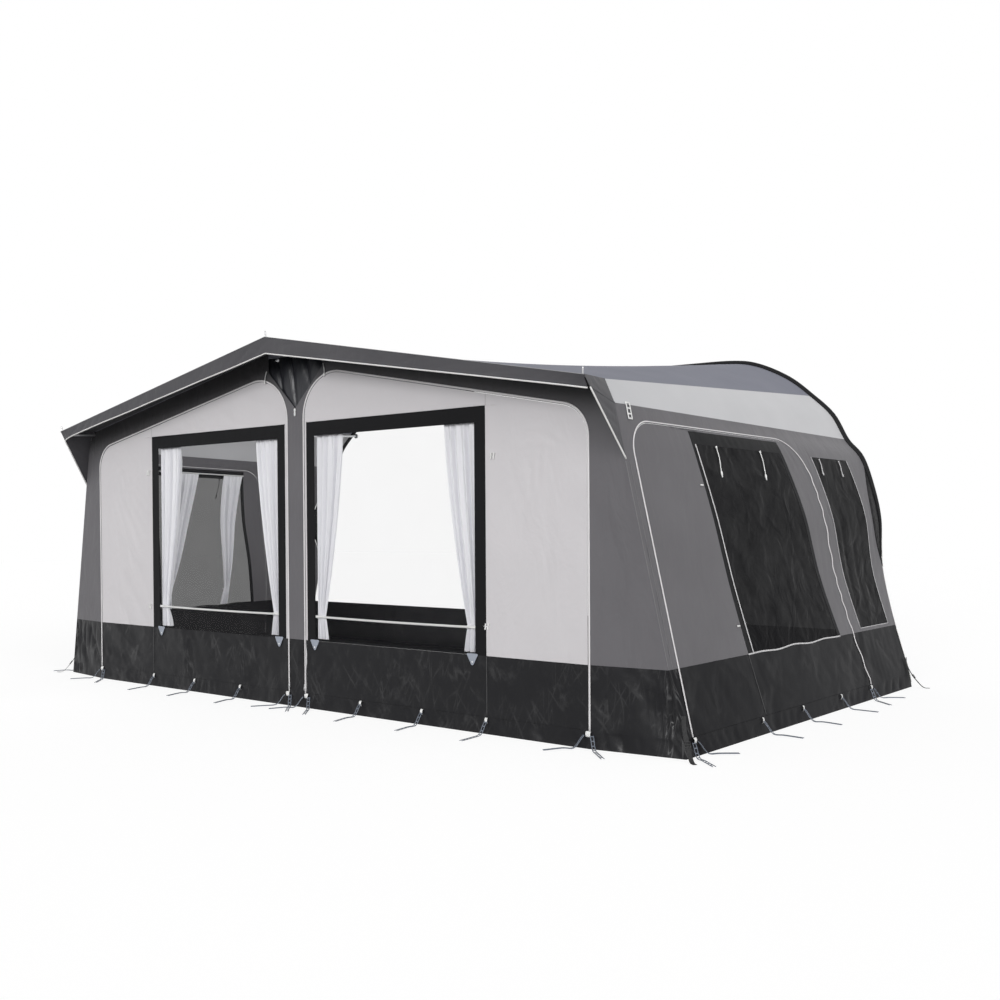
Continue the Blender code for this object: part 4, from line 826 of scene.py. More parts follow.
pane_cut = sided(PANE, MUD_TOP, PANE, PANE_TOP, 60, 56)
x, z = pane_cut[..., 0], pane_cut[..., 1]
rim = np.minimum(np.minimum(x - PANE[0], PANE[1] - x), PANE_TOP - z)
wrinkles = creases(pane_cut, (0.0035, 0.3, 0.09, 54)) * np.exp(-rim / 0.07) * np.clip(rim / 0.01, 0, 1)
wrinkles += creases(pane_cut * (1, 0.3), (0.0015, 0.05, 0.4, 55)) * np.clip(rim / 0.05, 0, 1)
pair("front_film_", [front_at(pane_cut, -0.0012 - wrinkles)], clear_film, "window_film", "front_window_",
     body="front_door_", out=FORWARD, thick=0.0, flat=(1.273, 1.305))
welt = front_at(run([(WINDOW[0] + 0.004, WINDOW_TOP), (WINDOW[1], WINDOW_TOP)], 60), 0.0015)
pair("front_window_welt_", [carried(welt, FORWARD, 0.005, 0.003, 8)], welt_white, "piping",
     body="front_door_")

track_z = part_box("curtain_inner_left")[1].z
low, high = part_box("window_rod_right")
middle = (low + high) / 2
rod = run([(low.x, middle.y, middle.z), (high.x, middle.y, middle.z)], 30)
rod[:, 2] -= 0.004 * hump(shares(30))
rod_girth = np.r_[1.5, 1.5, np.full(27, 1.15), 1.5, 1.5]
pair("curtain_rod_", [carried(rod, FORWARD, high.z - low.z, sides=14, girth=rod_girth)], white_plastic,
     "white_plastic", "window_rod_", body="front_door_")
rail = run([(x, FRONT_Y + 0.016, track_z + 0.007) for x in (PANE[0] - 0.01, PANE[1] + 0.01)], 20)
pair("curtain_track_", [carried(rail, FORWARD, 0.011, 0.026, 12)], white_plastic, "white_plastic",
     "front_window_surround_", body="front_door_")


# Tabs and toggles on the front panels: blue-grey triangles riveted at the windows' lower corners
# for the window covers, and small white toggles beside the windows on loops of cord.
TAB_HIGH, TAB_WIDE = 0.066, 0.080
TOGGLES = {-1: ((1.569, 1.570), (1.561, 0.585)), 1: ((1.568, 1.548), (1.523, 0.602))}

tab_blue = moulded("tab_blue_grey", (0.33, 0.36, 0.42), 0.5, depth=0.0004)
tab_x = (PANE[0] - 0.006, PANE[1] - 0.020)
taper = np.interp(shares(12), (0, 0.06, 0.90, 0.96, 1), (0.12, 0.22, 1, 0.97, 0.86))
tabs = [carried(points(x, FRONT_Y - 0.0035, MUD_TOP - 0.058 + TAB_HIGH * shares(12)), FORWARD, TAB_WIDE,
                0.0022, 16, taper) for x in tab_x]
pair("window_tabs_", tabs, tab_blue, "white_plastic", body="front_door_")
t = shares(20)
for side, name in SIDES:
    studs = [carried(points(side * x, FRONT_Y - 0.004 - 0.004 * shares(6), MUD_TOP - 0.040), UP, 0.010,
                     girth=[1, 1, 0.95, 0.9, 0.75, 0.5, 0.25]) for x in tab_x]
    for x, z in TOGGLES[side]:
        loop = points(side * x - 0.016 + 0.034 * t, FRONT_Y - 0.002 - 0.006 * np.sin(math.pi * t),
                      z + 0.003 * np.sin(5 * t))
        bars = [points(side * x + 0.014 * k + 0.004 * t, FRONT_Y - 0.007, z - 0.017 + 0.034 * t)
                for k in (-0.3, 1.0)]
        studs.append(carried(loop, FORWARD, 0.0045, sides=8))
        studs += [carried(bar, FORWARD, 0.0085, girth=0.6 + 0.5 * np.abs(2 * t - 1) ** 0.5) for bar in bars]
    piece("window_toggles_" + name, studs, white_plastic, "white_plastic", body="front_door_" + name)


# Curtains: white satin gathered on tracks inside the windows, tied back against the lower rod
# with a band of the same cloth, and flaring below it.
TIE_Z, TAIL_Z = 0.590, 0.448
TOP_W, TIE_W, TAIL_W = 0.235, 0.070, 0.095
CURTAIN_IN, FOLDS, FOLD_DEPTH = 0.022, 5, 0.0135

satin, add, shader = material("curtain_satin")
pulled = add("VectorMath", add("UVMap", uv_map="cloth"), (240.0, 3.0, 1.0), operation="MULTIPLY")
slub = add("TexNoise", {"Vector": pulled, "Scale": 1.0, "Detail": 3.0})
tone = add("Mix", {0: slub, 6: (0.88, 0.88, 0.91), 7: (0.78, 0.78, 0.82)}, data_type="RGBA")
fed(shader, {"Base Color": tone, "Roughness": 0.36, "Sheen Weight": 0.3,
             "Normal": add("Bump", {"Height": slub, "Distance": 0.0006})})


def tied(name, node, start, heading, top_z, seed, at, inward):
    """A tied-back curtain hanging from a track, with its edge against the pane's kept straight.

    Across it runs a fold wave of rounded sines, shared so that the folds bunch to the kept edge.
    Down it the width falls to the tie's by a smooth step, then flares to the tail's.
    """
    chance = np.random.default_rng(seed)
    s, t = np.meshgrid(shares(16 * FOLDS), shares(72))
    tie = (top_z - TIE_Z) / (top_z - TAIL_Z)
    down, after = np.clip(t / tie, 0, 1), np.clip((t - tie) / (1 - tie), 0, 1)
    width = TOP_W + (TIE_W - TOP_W) * down ** 1.5 + (TAIL_W - TIE_W) * after ** 0.7
    bunch = s + 0.10 * np.sin(math.tau * s + chance.uniform(0, 6)) * hump(s) * down
    phase = math.tau * FOLDS * bunch + 0.9 * np.sin(3.1 * t + chance.uniform(0, 6)) * hump(s)
    size = 1 - 0.45 * np.exp(-((t - tie) / 0.05) ** 2) - 0.25 * down * (1 - after)
    deep = FOLD_DEPTH * size * (1 - np.cos(phase)) * (0.8 + 0.35 * np.sin(phase / FOLDS * 2.3 + seed))
    deep = np.clip(deep * np.clip(0.35 + t * 6, 0, 1), 0, 2.2 * FOLD_DEPTH)
    grid = at(start + heading * width * s, mixed(top_z, TAIL_Z, t), CURTAIN_IN + deep)
    piece(name, [grid], satin, "curtain_satin", node, body=node, out=inward, thick=0.0006,
          flat=(0.30, top_z - TAIL_Z), held="gathered")
    t = shares(32)
    band = at(start + heading * (TIE_W + 0.006) * (1.02 * t - 0.02),
              TIE_Z - 0.004 + 0.012 * np.sin(math.pi * t), CURTAIN_IN - 0.0045)
    piece(name + "_tie", [carried(band, inward, 0.020, 0.004)], satin, "curtain_satin", body=node)


for side, name in SIDES:
    for edge, start, heading, seed in (("inner", PANE[0], 1, 60), ("outer", PANE[1], -1, 65)):
        tied(f"{edge}_curtain_{name}", f"curtain_{edge}_{name}", start, heading, track_z - 0.001, seed + side,
             lambda a, z, deep: points(side * a, FRONT_Y + deep, z), FORWARD)


# Side doors: grey canvas that zips out of each side wall, with a black bordered smoke window.
# Its front edge is the straight zip by the corner; its rear edge leans forward as it rises.
HINGE_OUT, HINGE_BACK = 0.014, 0.100
DOOR_TOP, DOOR_FRONT_R, DOOR_REAR_R = 1.700, 0.17, 0.33
DOOR_REAR_FOOT, DOOR_REAR_TOP = 0.680, 1.022
FRAME_TOP, SMOKE_TOP = 1.685, 1.612
FRAME_HEAD, FRAME_FOOT = RAIL_Y - np.array((2.335, 1.290)), RAIL_Y - np.array((2.143, 0.930))
SMOKE_HEAD, SMOKE_FOOT = RAIL_Y - np.array((2.290, 1.310)), RAIL_Y - np.array((2.085, 0.970))


def side_at(cut, off=0.0):
    """Points of the right side wall, moved out by an offset: flat from the corner to the hinge
    line, then straight at each height from the hinge line to the rail's outline."""
    y, z = cut[..., 0], cut[..., 1]
    hinge_x, hinge_y = corner_x(z) + HINGE_OUT, corner_y(z) + HINGE_BACK
    front_share = np.clip((y - corner_y(z)) / HINGE_BACK, 0, 1)
    rear_share = np.clip((y - hinge_y) / (RAIL_Y - hinge_y), 0, 1)
    return points(corner_x(z) + HINGE_OUT * front_share + (rail_x(z) - hinge_x) * rear_share + off, y, z)


def door_rear(z):
    """The door's rear edge leans forward as it rises."""
    return RAIL_Y - mixed(DOOR_REAR_FOOT, DOOR_REAR_TOP, (z - SKIRT_TOP) / (DOOR_TOP - SKIRT_TOP))


def door_line(inset, foot):
    """The door's outline in (y, z) from the hinge line's foot, up, over and down the rear edge."""
    top = DOOR_TOP - inset
    corners = [(corner_y(z) + HINGE_BACK + inset, z) for z in (foot, top)]
    corners += [(door_rear(z) - inset, z) for z in (top, foot)]
    return arched(corners, (DOOR_FRONT_R - inset, DOOR_REAR_R - inset), (40, 12, 44, 16, 36))


def side_sheets(name, cut, off, fade, waves, finish, slot, node, flat, **rest):
    """A cloth or film of each side wall, set in from it by an offset and by faded creases."""
    pair(name, [side_at(cut, -off - creases(cut, *waves) * fade)], finish, slot, node, out=ASIDE, flat=flat,
         area=flat_area(cut), **rest)


def panelled(columns, rows):
    """Nought at the edges of a grid and near one over its middle."""
    return (hump(shares(columns))[None] * bow(rows)) ** 0.35


frame_line = window_line(FRAME_FOOT, FRAME_HEAD, FRAME_TOP, [46, 56, 46])
door_cut = ruled(door_line(ZIP_GAP, MUD_TOP), frame_line, 12)
frame_cut = ruled(frame_line, window_line(SMOKE_FOOT, SMOKE_HEAD, SMOKE_TOP, [46, 56, 46]), 4)
low = SKIRT_TOP + ZIP_GAP
foot, knee = ((corner_y(z) + HINGE_BACK + ZIP_GAP, door_rear(z) - ZIP_GAP) for z in (low, MUD_TOP))
lower_cut = sided(foot, low, knee, MUD_TOP, 90, 12)
smoke_cut = sided(SMOKE_FOOT, MUD_TOP, SMOKE_HEAD, SMOKE_TOP, 60, 56)
side_sheets("side_panel_cloth_", door_cut, 0, bow(12), ((0.005, 0.2, 0.10, 71), (0.004, -0.7, 0.08, 72)),
            grey_canvas, "grey_canvas", "side_panel_", (0.30, 4.60), body="side_door_")
side_sheets("side_window_border_", frame_cut, 0.0002, bow(4), ((0.002, 0.6, 0.07, 73),),
            border_black, "dark_pvc", "side_window_surround_", (0.075, 3.70), body="side_door_")
side_sheets("side_panel_mudwall_", lower_cut, 0.0002, bow(12),
            ((0.0035, 0.4, 0.13, 74), (0.002, -0.6, 0.07, 75)), matt_pvc, "dark_pvc",
            "side_window_surround_", (2.30, 0.35), body="side_door_")
side_sheets("side_film_", smoke_cut, 0.0012, panelled(60, 56),
            ((0.003, 0.5, 0.16, 76), (0.002, -1.2, 0.30, 77)), smoke_film, "window_film",
            "side_window_", (1.32, 1.20), body="side_door_", thick=0.0)


# Trim of the side doors: the white zip all round, running on down over the mudwall, pale welts
# down the window's front edge and along its foot, and cords with toggles over the window.
TIES_BACK = (2.080, 1.570)
SIDE_TOGGLES = ((2.326, 1.381), (2.202, 0.598))
TIE_CORD, TOGGLE = 0.0055, 0.010


def trimmed(cut, off, *oval):
    """An oval carried along a line of the side wall, stood off it and faced along the wall's own
    normal, the cross of its slopes in y and in z taken over 10 mm."""
    across, up = (side_at(cut + step) - side_at(cut - step) for step in 0.005 * np.eye(2))
    normal = unit(np.cross(across, up))
    return carried(side_at(cut) + off * normal, normal, *oval)


def on_side(y, z, off, *oval):
    """An oval carried along a line of the side wall, stood off it and faced straight aside."""
    return carried(side_at(points(y, z), off), ASIDE, *oval)


zip_cut = door_line(-ZIP_OFF, SKIRT_TOP)
slack = np.clip((zip_cut[:, 0] - 0.1) / 0.2, 0, 1) * np.clip((1.62 - zip_cut[:, 1]) / 0.2, 0, 1)
zip_cut[:, 0] += 0.008 * slack * (1 + np.sin(zip_cut[:, 1] * 47 + 1.5 * np.sin(zip_cut[:, 1] * 9)))
zip_girth = np.interp(np.arange(len(zip_cut)), (38, 52, 98, 112), (1, 0.66, 0.66, 1))
pair("side_zip_", [trimmed(zip_cut, 0.0022, ZIP_WIDTH, ZIP_PROUD, 10, zip_girth)], zip_white, "piping")

front_welt = run([(SMOKE_HEAD[0], SMOKE_TOP), (SMOKE_FOOT[0], MUD_TOP)], 40)
foot_welt = run([(FRAME_FOOT[0], MUD_TOP), (FRAME_FOOT[1] - 0.01, MUD_TOP)], 60)
foot_welt[:, 1] += 0.006 * np.sin(17 * shares(60)) * hump(shares(60))
welts = [trimmed(cut, 0.0016, 0.0095, 0.004, 8) for cut in (front_welt, foot_welt)]
pair("side_welts_", welts, welt_white, "piping", body="side_door_")
lean = (FRAME_FOOT[0] - FRAME_HEAD[0]) / (FRAME_TOP - MUD_TOP)
seam_cut = run([(FRAME_FOOT[0], MUD_TOP - 0.004),
                (FRAME_FOOT[0] + lean * (MUD_TOP - SKIRT_TOP), SKIRT_TOP + 0.01)], 20)
pair("side_foot_seam_", [trimmed(seam_cut, 0.0010, STITCH_WIDTH, STITCH_PROUD, 8)], seam_dark, "dark_pvc",
     body="side_door_")

t = shares(40)
tie_girth = np.interp(t, (0, 0.05, 0.08, 0.80, 0.82, 0.92, 0.94, 1), (2.2, 2.2, 1, 1, 2.2, 2.2, 1.3, 1.3))
bits = [on_side(RAIL_Y - back + 0.006 * np.sin(5 * t), SMOKE_TOP - 0.180 * t, 0.006, TIE_CORD, TIE_CORD, 8,
                tie_girth) for back in TIES_BACK]
bits += [on_side(RAIL_Y - back + 0.020 * t - 0.010, z, 0.008, TOGGLE, TOGGLE, 10,
                 0.55 + 0.5 * np.abs(2 * t - 1) ** 0.5) for back, z in SIDE_TOGGLES]
pair("side_ties_", bits, white_plastic, "white_plastic", body="side_door_")


# Fixed side walls: grey canvas from the front corner over the door to the rail, with a smoke
# window at the rear. A white slotted plate for the strap is sewn into the seam by the corner.
REAR_FOOT_Z, REAR_TOP_Z = 0.460, 1.610
REAR_FOOT, REAR_HEAD = RAIL_Y - np.array((0.602, 0.125)), RAIL_Y - np.array((0.870, 0.325))
PAD_TOP, PAD_FOOT, PAD_WIDTH, PAD_THICK = 1.660, 0.850, 0.150, 0.030
SEAM_BACK, DOOR_MARGIN = 0.970, 0.10
WALL_WAVES = (0.005, 0.3, 0.09, 81), (0.004, -0.8, 0.12, 82)
PLATE_BACK, PLATE_HIGH, PLATE_HALF = 0.12, 0.090, 0.016


def pad_bite(z):
    """How far the draught pad bites forward from the rail: a half sine between its ends."""
    return PAD_WIDTH * np.sin(math.pi * np.clip((z - PAD_FOOT) / (PAD_TOP - PAD_FOOT), 0, 1))


top_y, foot_y = RAIL_Y - SEAM_BACK, door_rear(MUD_TOP) + DOOR_MARGIN
outside = run([(corner_y(MUD_TOP), MUD_TOP), (corner_y(SEAM_Z), SEAM_Z), (top_y, SEAM_Z), (foot_y, MUD_TOP)],
              [46, 60, 42])
wall_cut = ruled(outside, door_line(0.0, MUD_TOP), 9)
for label, columns, flat in (("front", slice(0, 47), (0.22, 1.36)), ("top", slice(46, 107), (0.22, 2.00)),
                             ("rear", slice(106, None), (0.20, 1.36))):
    side_sheets(f"side_wall_{label}_", wall_cut[:, columns], 0, bow(9), WALL_WAVES, grey_canvas,
                "grey_canvas", "side_wall_", flat)

quad = [(REAR_FOOT[0], REAR_FOOT_Z), (REAR_FOOT[1], REAR_FOOT_Z), (REAR_HEAD[1], REAR_TOP_Z),
        (REAR_HEAD[0], REAR_TOP_Z)]
rise = np.linspace(MUD_TOP, SEAM_Z, 61)
rail_edge = points(RAIL_Y - pad_bite(rise), rise)
ring_out = np.vstack([run([(foot_y, MUD_TOP), (RAIL_Y, MUD_TOP)], 20)[:-1], rail_edge[:-1],
                      run([(RAIL_Y, SEAM_Z), (top_y, SEAM_Z), (foot_y, MUD_TOP)], [24, 48])])
ring_cut = ruled(ring_out, run([*quad, quad[0]], [20, 60, 24, 48]), 10)
side_sheets("side_wall_window_", ring_cut, 0, bow(10), WALL_WAVES, grey_canvas, "grey_canvas",
            "side_wall_", (0.95, 1.36))
rear_cut = sided(REAR_FOOT, REAR_FOOT_Z, REAR_HEAD, REAR_TOP_Z, 28, 44)
side_sheets("rear_film_", rear_cut, 0.0012, panelled(28, 44),
            ((0.005, 0.1, 0.14, 83), (0.002, -0.8, 0.25, 84)), smoke_film, "window_film", "rear_window_",
            (0.72, 1.20), thick=0.0)

trims = [on_side(*run(ends, steps).T, 0.0012, 0.005, 0.003, 8)
         for ends, steps in (((quad[0], quad[1]), 20), ((quad[0], quad[3]), 30), ((quad[1], quad[2]), 30))]
t = shares(30)
cord_girth = np.interp(t, (0, 0.1, 0.8, 0.85, 1), (2, 1, 1, 2, 1.4))
trims += [on_side(REAR_HEAD[0] + 0.10 + step + 0.005 * np.sin(6 * t), REAR_TOP_Z - 0.01 - 0.11 * t, 0.006,
                  TIE_CORD, TIE_CORD, 8, cord_girth) for step in (0.0, 0.30)]
pair("rear_window_trim_", trims, welt_white, "piping")
plate_y, plate_z = corner_y(SEAM_Z) + PLATE_BACK, SEAM_Z + 0.012
bars = [on_side(plate_y + k * PLATE_HALF, plate_z - PLATE_HIGH * shares(12), 0.005, 0.008, 0.005)
        for k in (-1, 1)]
bars += [on_side(plate_y + mixed(-PLATE_HALF, PLATE_HALF, shares(6)), plate_z - PLATE_HIGH * k, 0.005, 0.009,
                 0.005) for k in (0.03, 0.36, 0.68, 0.95)]
pair("strap_plate_", bars, white_plastic, "white_plastic")


# Curtains of the left side door: two lengths of the same satin, hung on a white plastic track
# inside the door over its window, drawn apart and tied back at each edge.
side_track_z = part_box("side_curtain_front")[1].z + 0.001
for name, node, edge, heading, seed in (("side_curtain_ahead", "side_curtain_front", SMOKE_FOOT[0], 1, 91),
                                        ("side_curtain_behind", "side_curtain_rear", SMOKE_HEAD[1], -1, 92)):
    tied(name, node, RAIL_Y - edge, -heading, side_track_z - 0.001, seed,
         lambda a, z, deep: side_at(points(RAIL_Y - a, z), -deep) * (-1, 1, 1), (-1, 0, 0))
t = np.linspace(SMOKE_HEAD[0] - 0.01, SMOKE_HEAD[1] + 0.01, 41)
track = side_at(points(t, side_track_z + 0.006), -0.016) * (-1, 1, 1)
piece("side_curtain_track", [carried(track, (-1, 0, 0), 0.011, 0.024, 12)], white_plastic, "white_plastic",
      "side_window_surround_left", body="side_door_left")


# Draught pads: quilted black cushions stuffed between the side walls' rear edges and the
# caravan, stitched in lines across their length.
QUILT_ROWS, QUILT_BEND = 13, 1.20

quilt, add, shader = material("quilted_black")
puckers = add("TexNoise", {"Vector": add("TexCoord").outputs["Object"], "Scale": 42.0, "Detail": 3.0})
fed(shader, {"Base Color": (0.009, 0.009, 0.010), "Roughness": 0.26, "IOR": QUILT_BEND,
             "Normal": add("Bump", {"Height": puckers, "Distance": 0.004})})

u, v = np.meshgrid(np.linspace(0, math.tau, 49), np.linspace(0.001, 0.999, 131))
puff = 1 - 0.30 * np.abs(np.cos(math.pi * QUILT_ROWS * v)) ** 6
y = RAIL_Y - PAD_WIDTH * np.sin(math.pi * v) * (0.5 + 0.5 * np.cos(u)) - 0.0005
deep = PAD_THICK * (0.5 + 0.5 * np.sin(u)) * puff * np.clip(np.sin(math.pi * v) * 3, 0.05, 1)
pad = side_at(points(y, mixed(PAD_FOOT, PAD_TOP, v)), 0.004) - points(deep, 0, 0)
for cushion in pair("draught_cushion_", [pad[:, ::-1]], quilt, "quilted_pad", "draught_pad_"):
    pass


# Mudwall: black PVC cloth round the foot of the walls, a low band along the ground with a hem
# seam at its top, and upstands between the zip-out panels and at the corners and the rail.
HEM, HEM_PROUD, HEM_IN = 0.014, 0.0030, 0.0040


def belt(knots, steps, low, high, rows):
    """The flat grid between two heights whose rows run through knots that move with height."""
    return np.stack([run([(knot, z) for knot in knots(z)], steps) for z in np.linspace(low, high, rows + 1)])


def front_knots(z):
    """The front wall's corners and zips at a height."""
    return (-corner_x(z), -ZIP_OUT, -ZIP_IN, ZIP_IN, ZIP_OUT, corner_x(z))


def side_knots(z):
    """The side wall's corner, hinge line, door foot and rail at a height."""
    return (corner_y(z), corner_y(z) + HINGE_BACK, RAIL_Y - DOOR_REAR_FOOT, RAIL_Y)


def rumpled(cut, seed):
    """How far mudwall cloth stands back: deep slanted creases over upright ones, faded to its
    rows' ends, to the first and last row, and before the middle upright."""
    away = np.abs(cut[..., 0])
    ends = np.clip(12 * hump(shares(cut.shape[1] - 1)), 0, 1)[None]
    corner = np.exp(-((away - away.max()) / 0.14) ** 2)
    slack = np.clip(away / 0.3, 0.1, 1) * (1 + 0.7 * corner)
    deep = creases(cut, (0.010, 0.6, 0.24, seed), (0.008, 0.0, 0.09, seed + 1))
    deep += corner * creases(cut * (1, 0.4), (0.012, 0.1, 0.045, seed + 2))
    return deep * bow(cut.shape[0] - 1) ** 0.6 * ends * slack


cuts = [belt(front_knots, [48, 120, 12, 120, 48], 0.0, SKIRT_TOP, 10)]
cuts += [belt(lambda z: front_knots(z)[first:first + 2], columns, SKIRT_TOP, MUD_TOP, 16)
         for first, columns in ((0, 48), (2, 12), (4, 48))]
grids = [front_at(cut, -rumpled(cut, 100 + k)) for k, cut in enumerate(cuts)]
piece("mudwall_front_cloth", grids, pvc, "dark_pvc", "mudwall_front", out=FORWARD, flat=(0.44, 5.40),
      held="hung", area=sum(map(flat_area, cuts)))
hem = front_at(run([(-ZIP_OUT * 1.2, SKIRT_TOP), (ZIP_OUT * 1.2, SKIRT_TOP)], 160), -HEM_IN)
piece("mudwall_front_hem", [carried(hem, FORWARD, HEM, HEM_PROUD, 8)], pvc, "dark_pvc")

cuts = [belt(side_knots, [10, 120, 40], 0.0, SKIRT_TOP, 10),
        belt(lambda z: side_knots(z)[:2], 10, SKIRT_TOP, MUD_TOP, 16),
        belt(lambda z: (door_rear(z), RAIL_Y), 40, SKIRT_TOP, MUD_TOP, 16)]
calms = (0.8, 0.4, 0.4)
grids = [side_at(cut, -calm * rumpled(cut, 110 + k)) for k, (cut, calm) in enumerate(zip(cuts, calms))]
pair("mudwall_cloth_", grids, matt_pvc, "dark_pvc", "mudwall_", out=ASIDE, flat=(0.44, 3.02), held="hung",
     area=sum(map(flat_area, cuts)))
hem_y = np.linspace(corner_y(0.09) + 0.01, RAIL_Y - 0.01, 121)
pair("mudwall_hem_", [on_side(hem_y, SKIRT_TOP, -HEM_IN, HEM, HEM_PROUD, 8)], matt_pvc, "dark_pvc")


# Corner seams: a flat-felled seam down each front corner and a second one beside it on the side
# wall, where the corner's inner binding is sewn through.
seam_grey = moulded("seam_grey", (0.190, 0.185, 0.195), 0.55, grain=700.0, depth=0.0004)
fall = np.linspace(GUSSET_FOOT_Z - 0.01, MUD_TOP, 61)
pair("corner_seams_", [on_side(corner_y(fall) + back, fall, 0.0008, wide, 0.0020, 8)
                       for back, wide in ((0.004, 0.0060), (0.040, 0.0035))], seam_grey, "grey_canvas")


# Draught skirt: a strip of the same black cloth across the rear that closes the gap under the
# caravan's floor, between the side walls' rear edges; its slack foot lies forward on the ground.
FLAP, SKIRT_IN, FLAP_IN = 0.31, 0.005, 0.06

rise = np.linspace(0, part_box("draught_skirt")[1].z, 13)
behind = np.stack([run([(SKIRT_IN - rail_x(z), z), (rail_x(z) - SKIRT_IN, z)], 200) for z in rise])
cloth = points(behind[..., 0], RAIL_Y - 0.0025 + rumpled(behind, 120) / 7, behind[..., 1])
x, t = np.meshgrid(np.linspace(-1, 1, 201) * (rail_x(0) - FLAP_IN), shares(14))
flap = points(x * (1 - 0.08 * t), RAIL_Y - 0.004 - FLAP * t,
              0.0022 + creases(points(x, t), (0.010, 0.2, 0.2, 121)) * hump(t))
piece("draught_skirt_cloth", [cloth, flap], pvc, "dark_pvc", "draught_skirt", flat=(0.69, 6.15), held="hung")


# Peg ladders: moulded blue-grey chains of slots that hang from white loops on the hem, fall to
# the ground and run outward to their pegs; at each zip two of them splay from one loop.
LADDER_WIDE, LADDER_THICK, RUNG_EVERY = 0.021, 0.0040, 0.0270
LADDER_TOP, LADDER_REACH, SPLAY = 0.072, 0.222, math.radians(42)
SINGLES_FRONT, SINGLES_BACK = (0.560, 1.050, 1.520), (2.142, 1.660, 1.140)

ladder_blue = moulded("ladder_blue_grey", (0.155, 0.175, 0.215), 0.42, grain=300.0)


def ladder(start, heading, chance):
    """One ladder: two rails along a smooth fall from the hem to the ground and out, and rungs
    across them at even distances, with a small chance bend and lift for each ladder."""
    way, across = (np.array((math.cos(a), math.sin(a), 0)) for a in (heading, heading + math.pi / 2))
    lift, sway = chance.uniform(0, 0.012), chance.uniform(-0.012, 0.012)
    fall = smooth_run(np.array([(0.004, LADDER_TOP), (0.020, 0.055), (0.044, 0.022), (0.068, 0.006),
                                (0.12, 0.004 + 0.6 * lift), (LADDER_REACH, 0.0035)]), 8)
    out, z = fall[:, :1], fall[:, 1:]
    path = np.array(start) + out * way + z * UP + (out / LADDER_REACH) ** 2 * sway * across
    proud = np.cross(unit(np.gradient(path, axis=0)), across)
    proud *= np.sign(proud[:, 2:] + 1e-9)
    rails = [carried(path + across * k * (LADDER_WIDE / 2 - 0.0025), proud, 0.0050, LADDER_THICK, 8)
             for k in (-1, 1)]
    far = np.append(0, np.cumsum(np.linalg.norm(np.diff(path, axis=0), axis=1)))
    stops = np.arange(0.004, far[-1] - 0.002, RUNG_EVERY)
    spots, normals = (np.stack([np.interp(stops, far, line) for line in lines.T], -1)
                      for lines in (path, proud))
    reach = np.linspace(-1, 1, 3)[:, None] * across * (LADDER_WIDE / 2 - 0.002)
    return rails + [carried(spot + reach, normal, 0.0070, 0.0034, 8)
                    for spot, normal in zip(spots, unit(normals))]


def hem_loop(point, out, wide):
    """A band of white webbing that leaves the hem, turns down and goes back into it."""
    turn = np.linspace(0, math.pi, 13)[:, None]
    path = np.array(point) + 0.008 * np.sin(turn) * out + (0.0775 + 0.015 * np.cos(turn)) * UP
    return carried(path, np.sin(turn) * out + np.cos(turn) * UP, wide, 0.0022)


singles_side = [RAIL_Y - back for back in SINGLES_BACK]
doubles_side = [corner_y(LADDER_TOP) + HINGE_BACK, RAIL_Y - DOOR_REAR_FOOT]
chance = np.random.default_rng(7)
for side, name in SIDES:
    chains, loops = [], []
    posts = [((side * x, FRONT_Y, 0), FORWARD, double)
             for double, row in ((False, SINGLES_FRONT), (True, (ZIP_IN + 0.003, ZIP_OUT))) for x in row]
    posts += [(side_at(points(y, LADDER_TOP)) * (side, 1, 0), (side, 0, 0), double)
              for double, row in ((False, singles_side), (True, doubles_side)) for y in row]
    for point, out, double in posts:
        heading, out = math.atan2(out[1], out[0]), np.array(out, float)
        loops.append(hem_loop(point, out, 0.030 if double else 0.018))
        for k in ((-1, 1) if double else (0,)):
            start = point + k * LADDER_WIDE * np.cross(UP, out) + 0.004 * out
            chains += ladder(start, heading + k * SPLAY, chance)
    piece("peg_ladders_" + name, chains, ladder_blue, "peg_ladder")
    piece("hem_loops_" + name, loops, white_plastic, "white_plastic")


# Corner straps: black webbing sewn to the wall's corners, down through a ladder buckle to the
# ground, with its loose tail run on.
STRAP_WIDE, STRAP_THICK = 0.025, 0.0020
BUCKLE_AT, BUCKLE_HALF, BUCKLE_BAR = 14, 0.016, 0.005

webbing, add, shader = material("black_webbing")
thread = add("UVMap", uv_map="cloth")
ribs = add("TexWave", {"Vector": thread, "Scale": 220.0, "Distortion": 0.4}).outputs["Fac"]
fed(shader, {"Base Color": (0.016, 0.016, 0.017), "Roughness": 0.62,
             "Normal": add("Bump", {"Height": ribs, "Distance": 0.0006})})
buckle_black = moulded("buckle_black", (0.018, 0.018, 0.019), 0.35, grain=500.0)

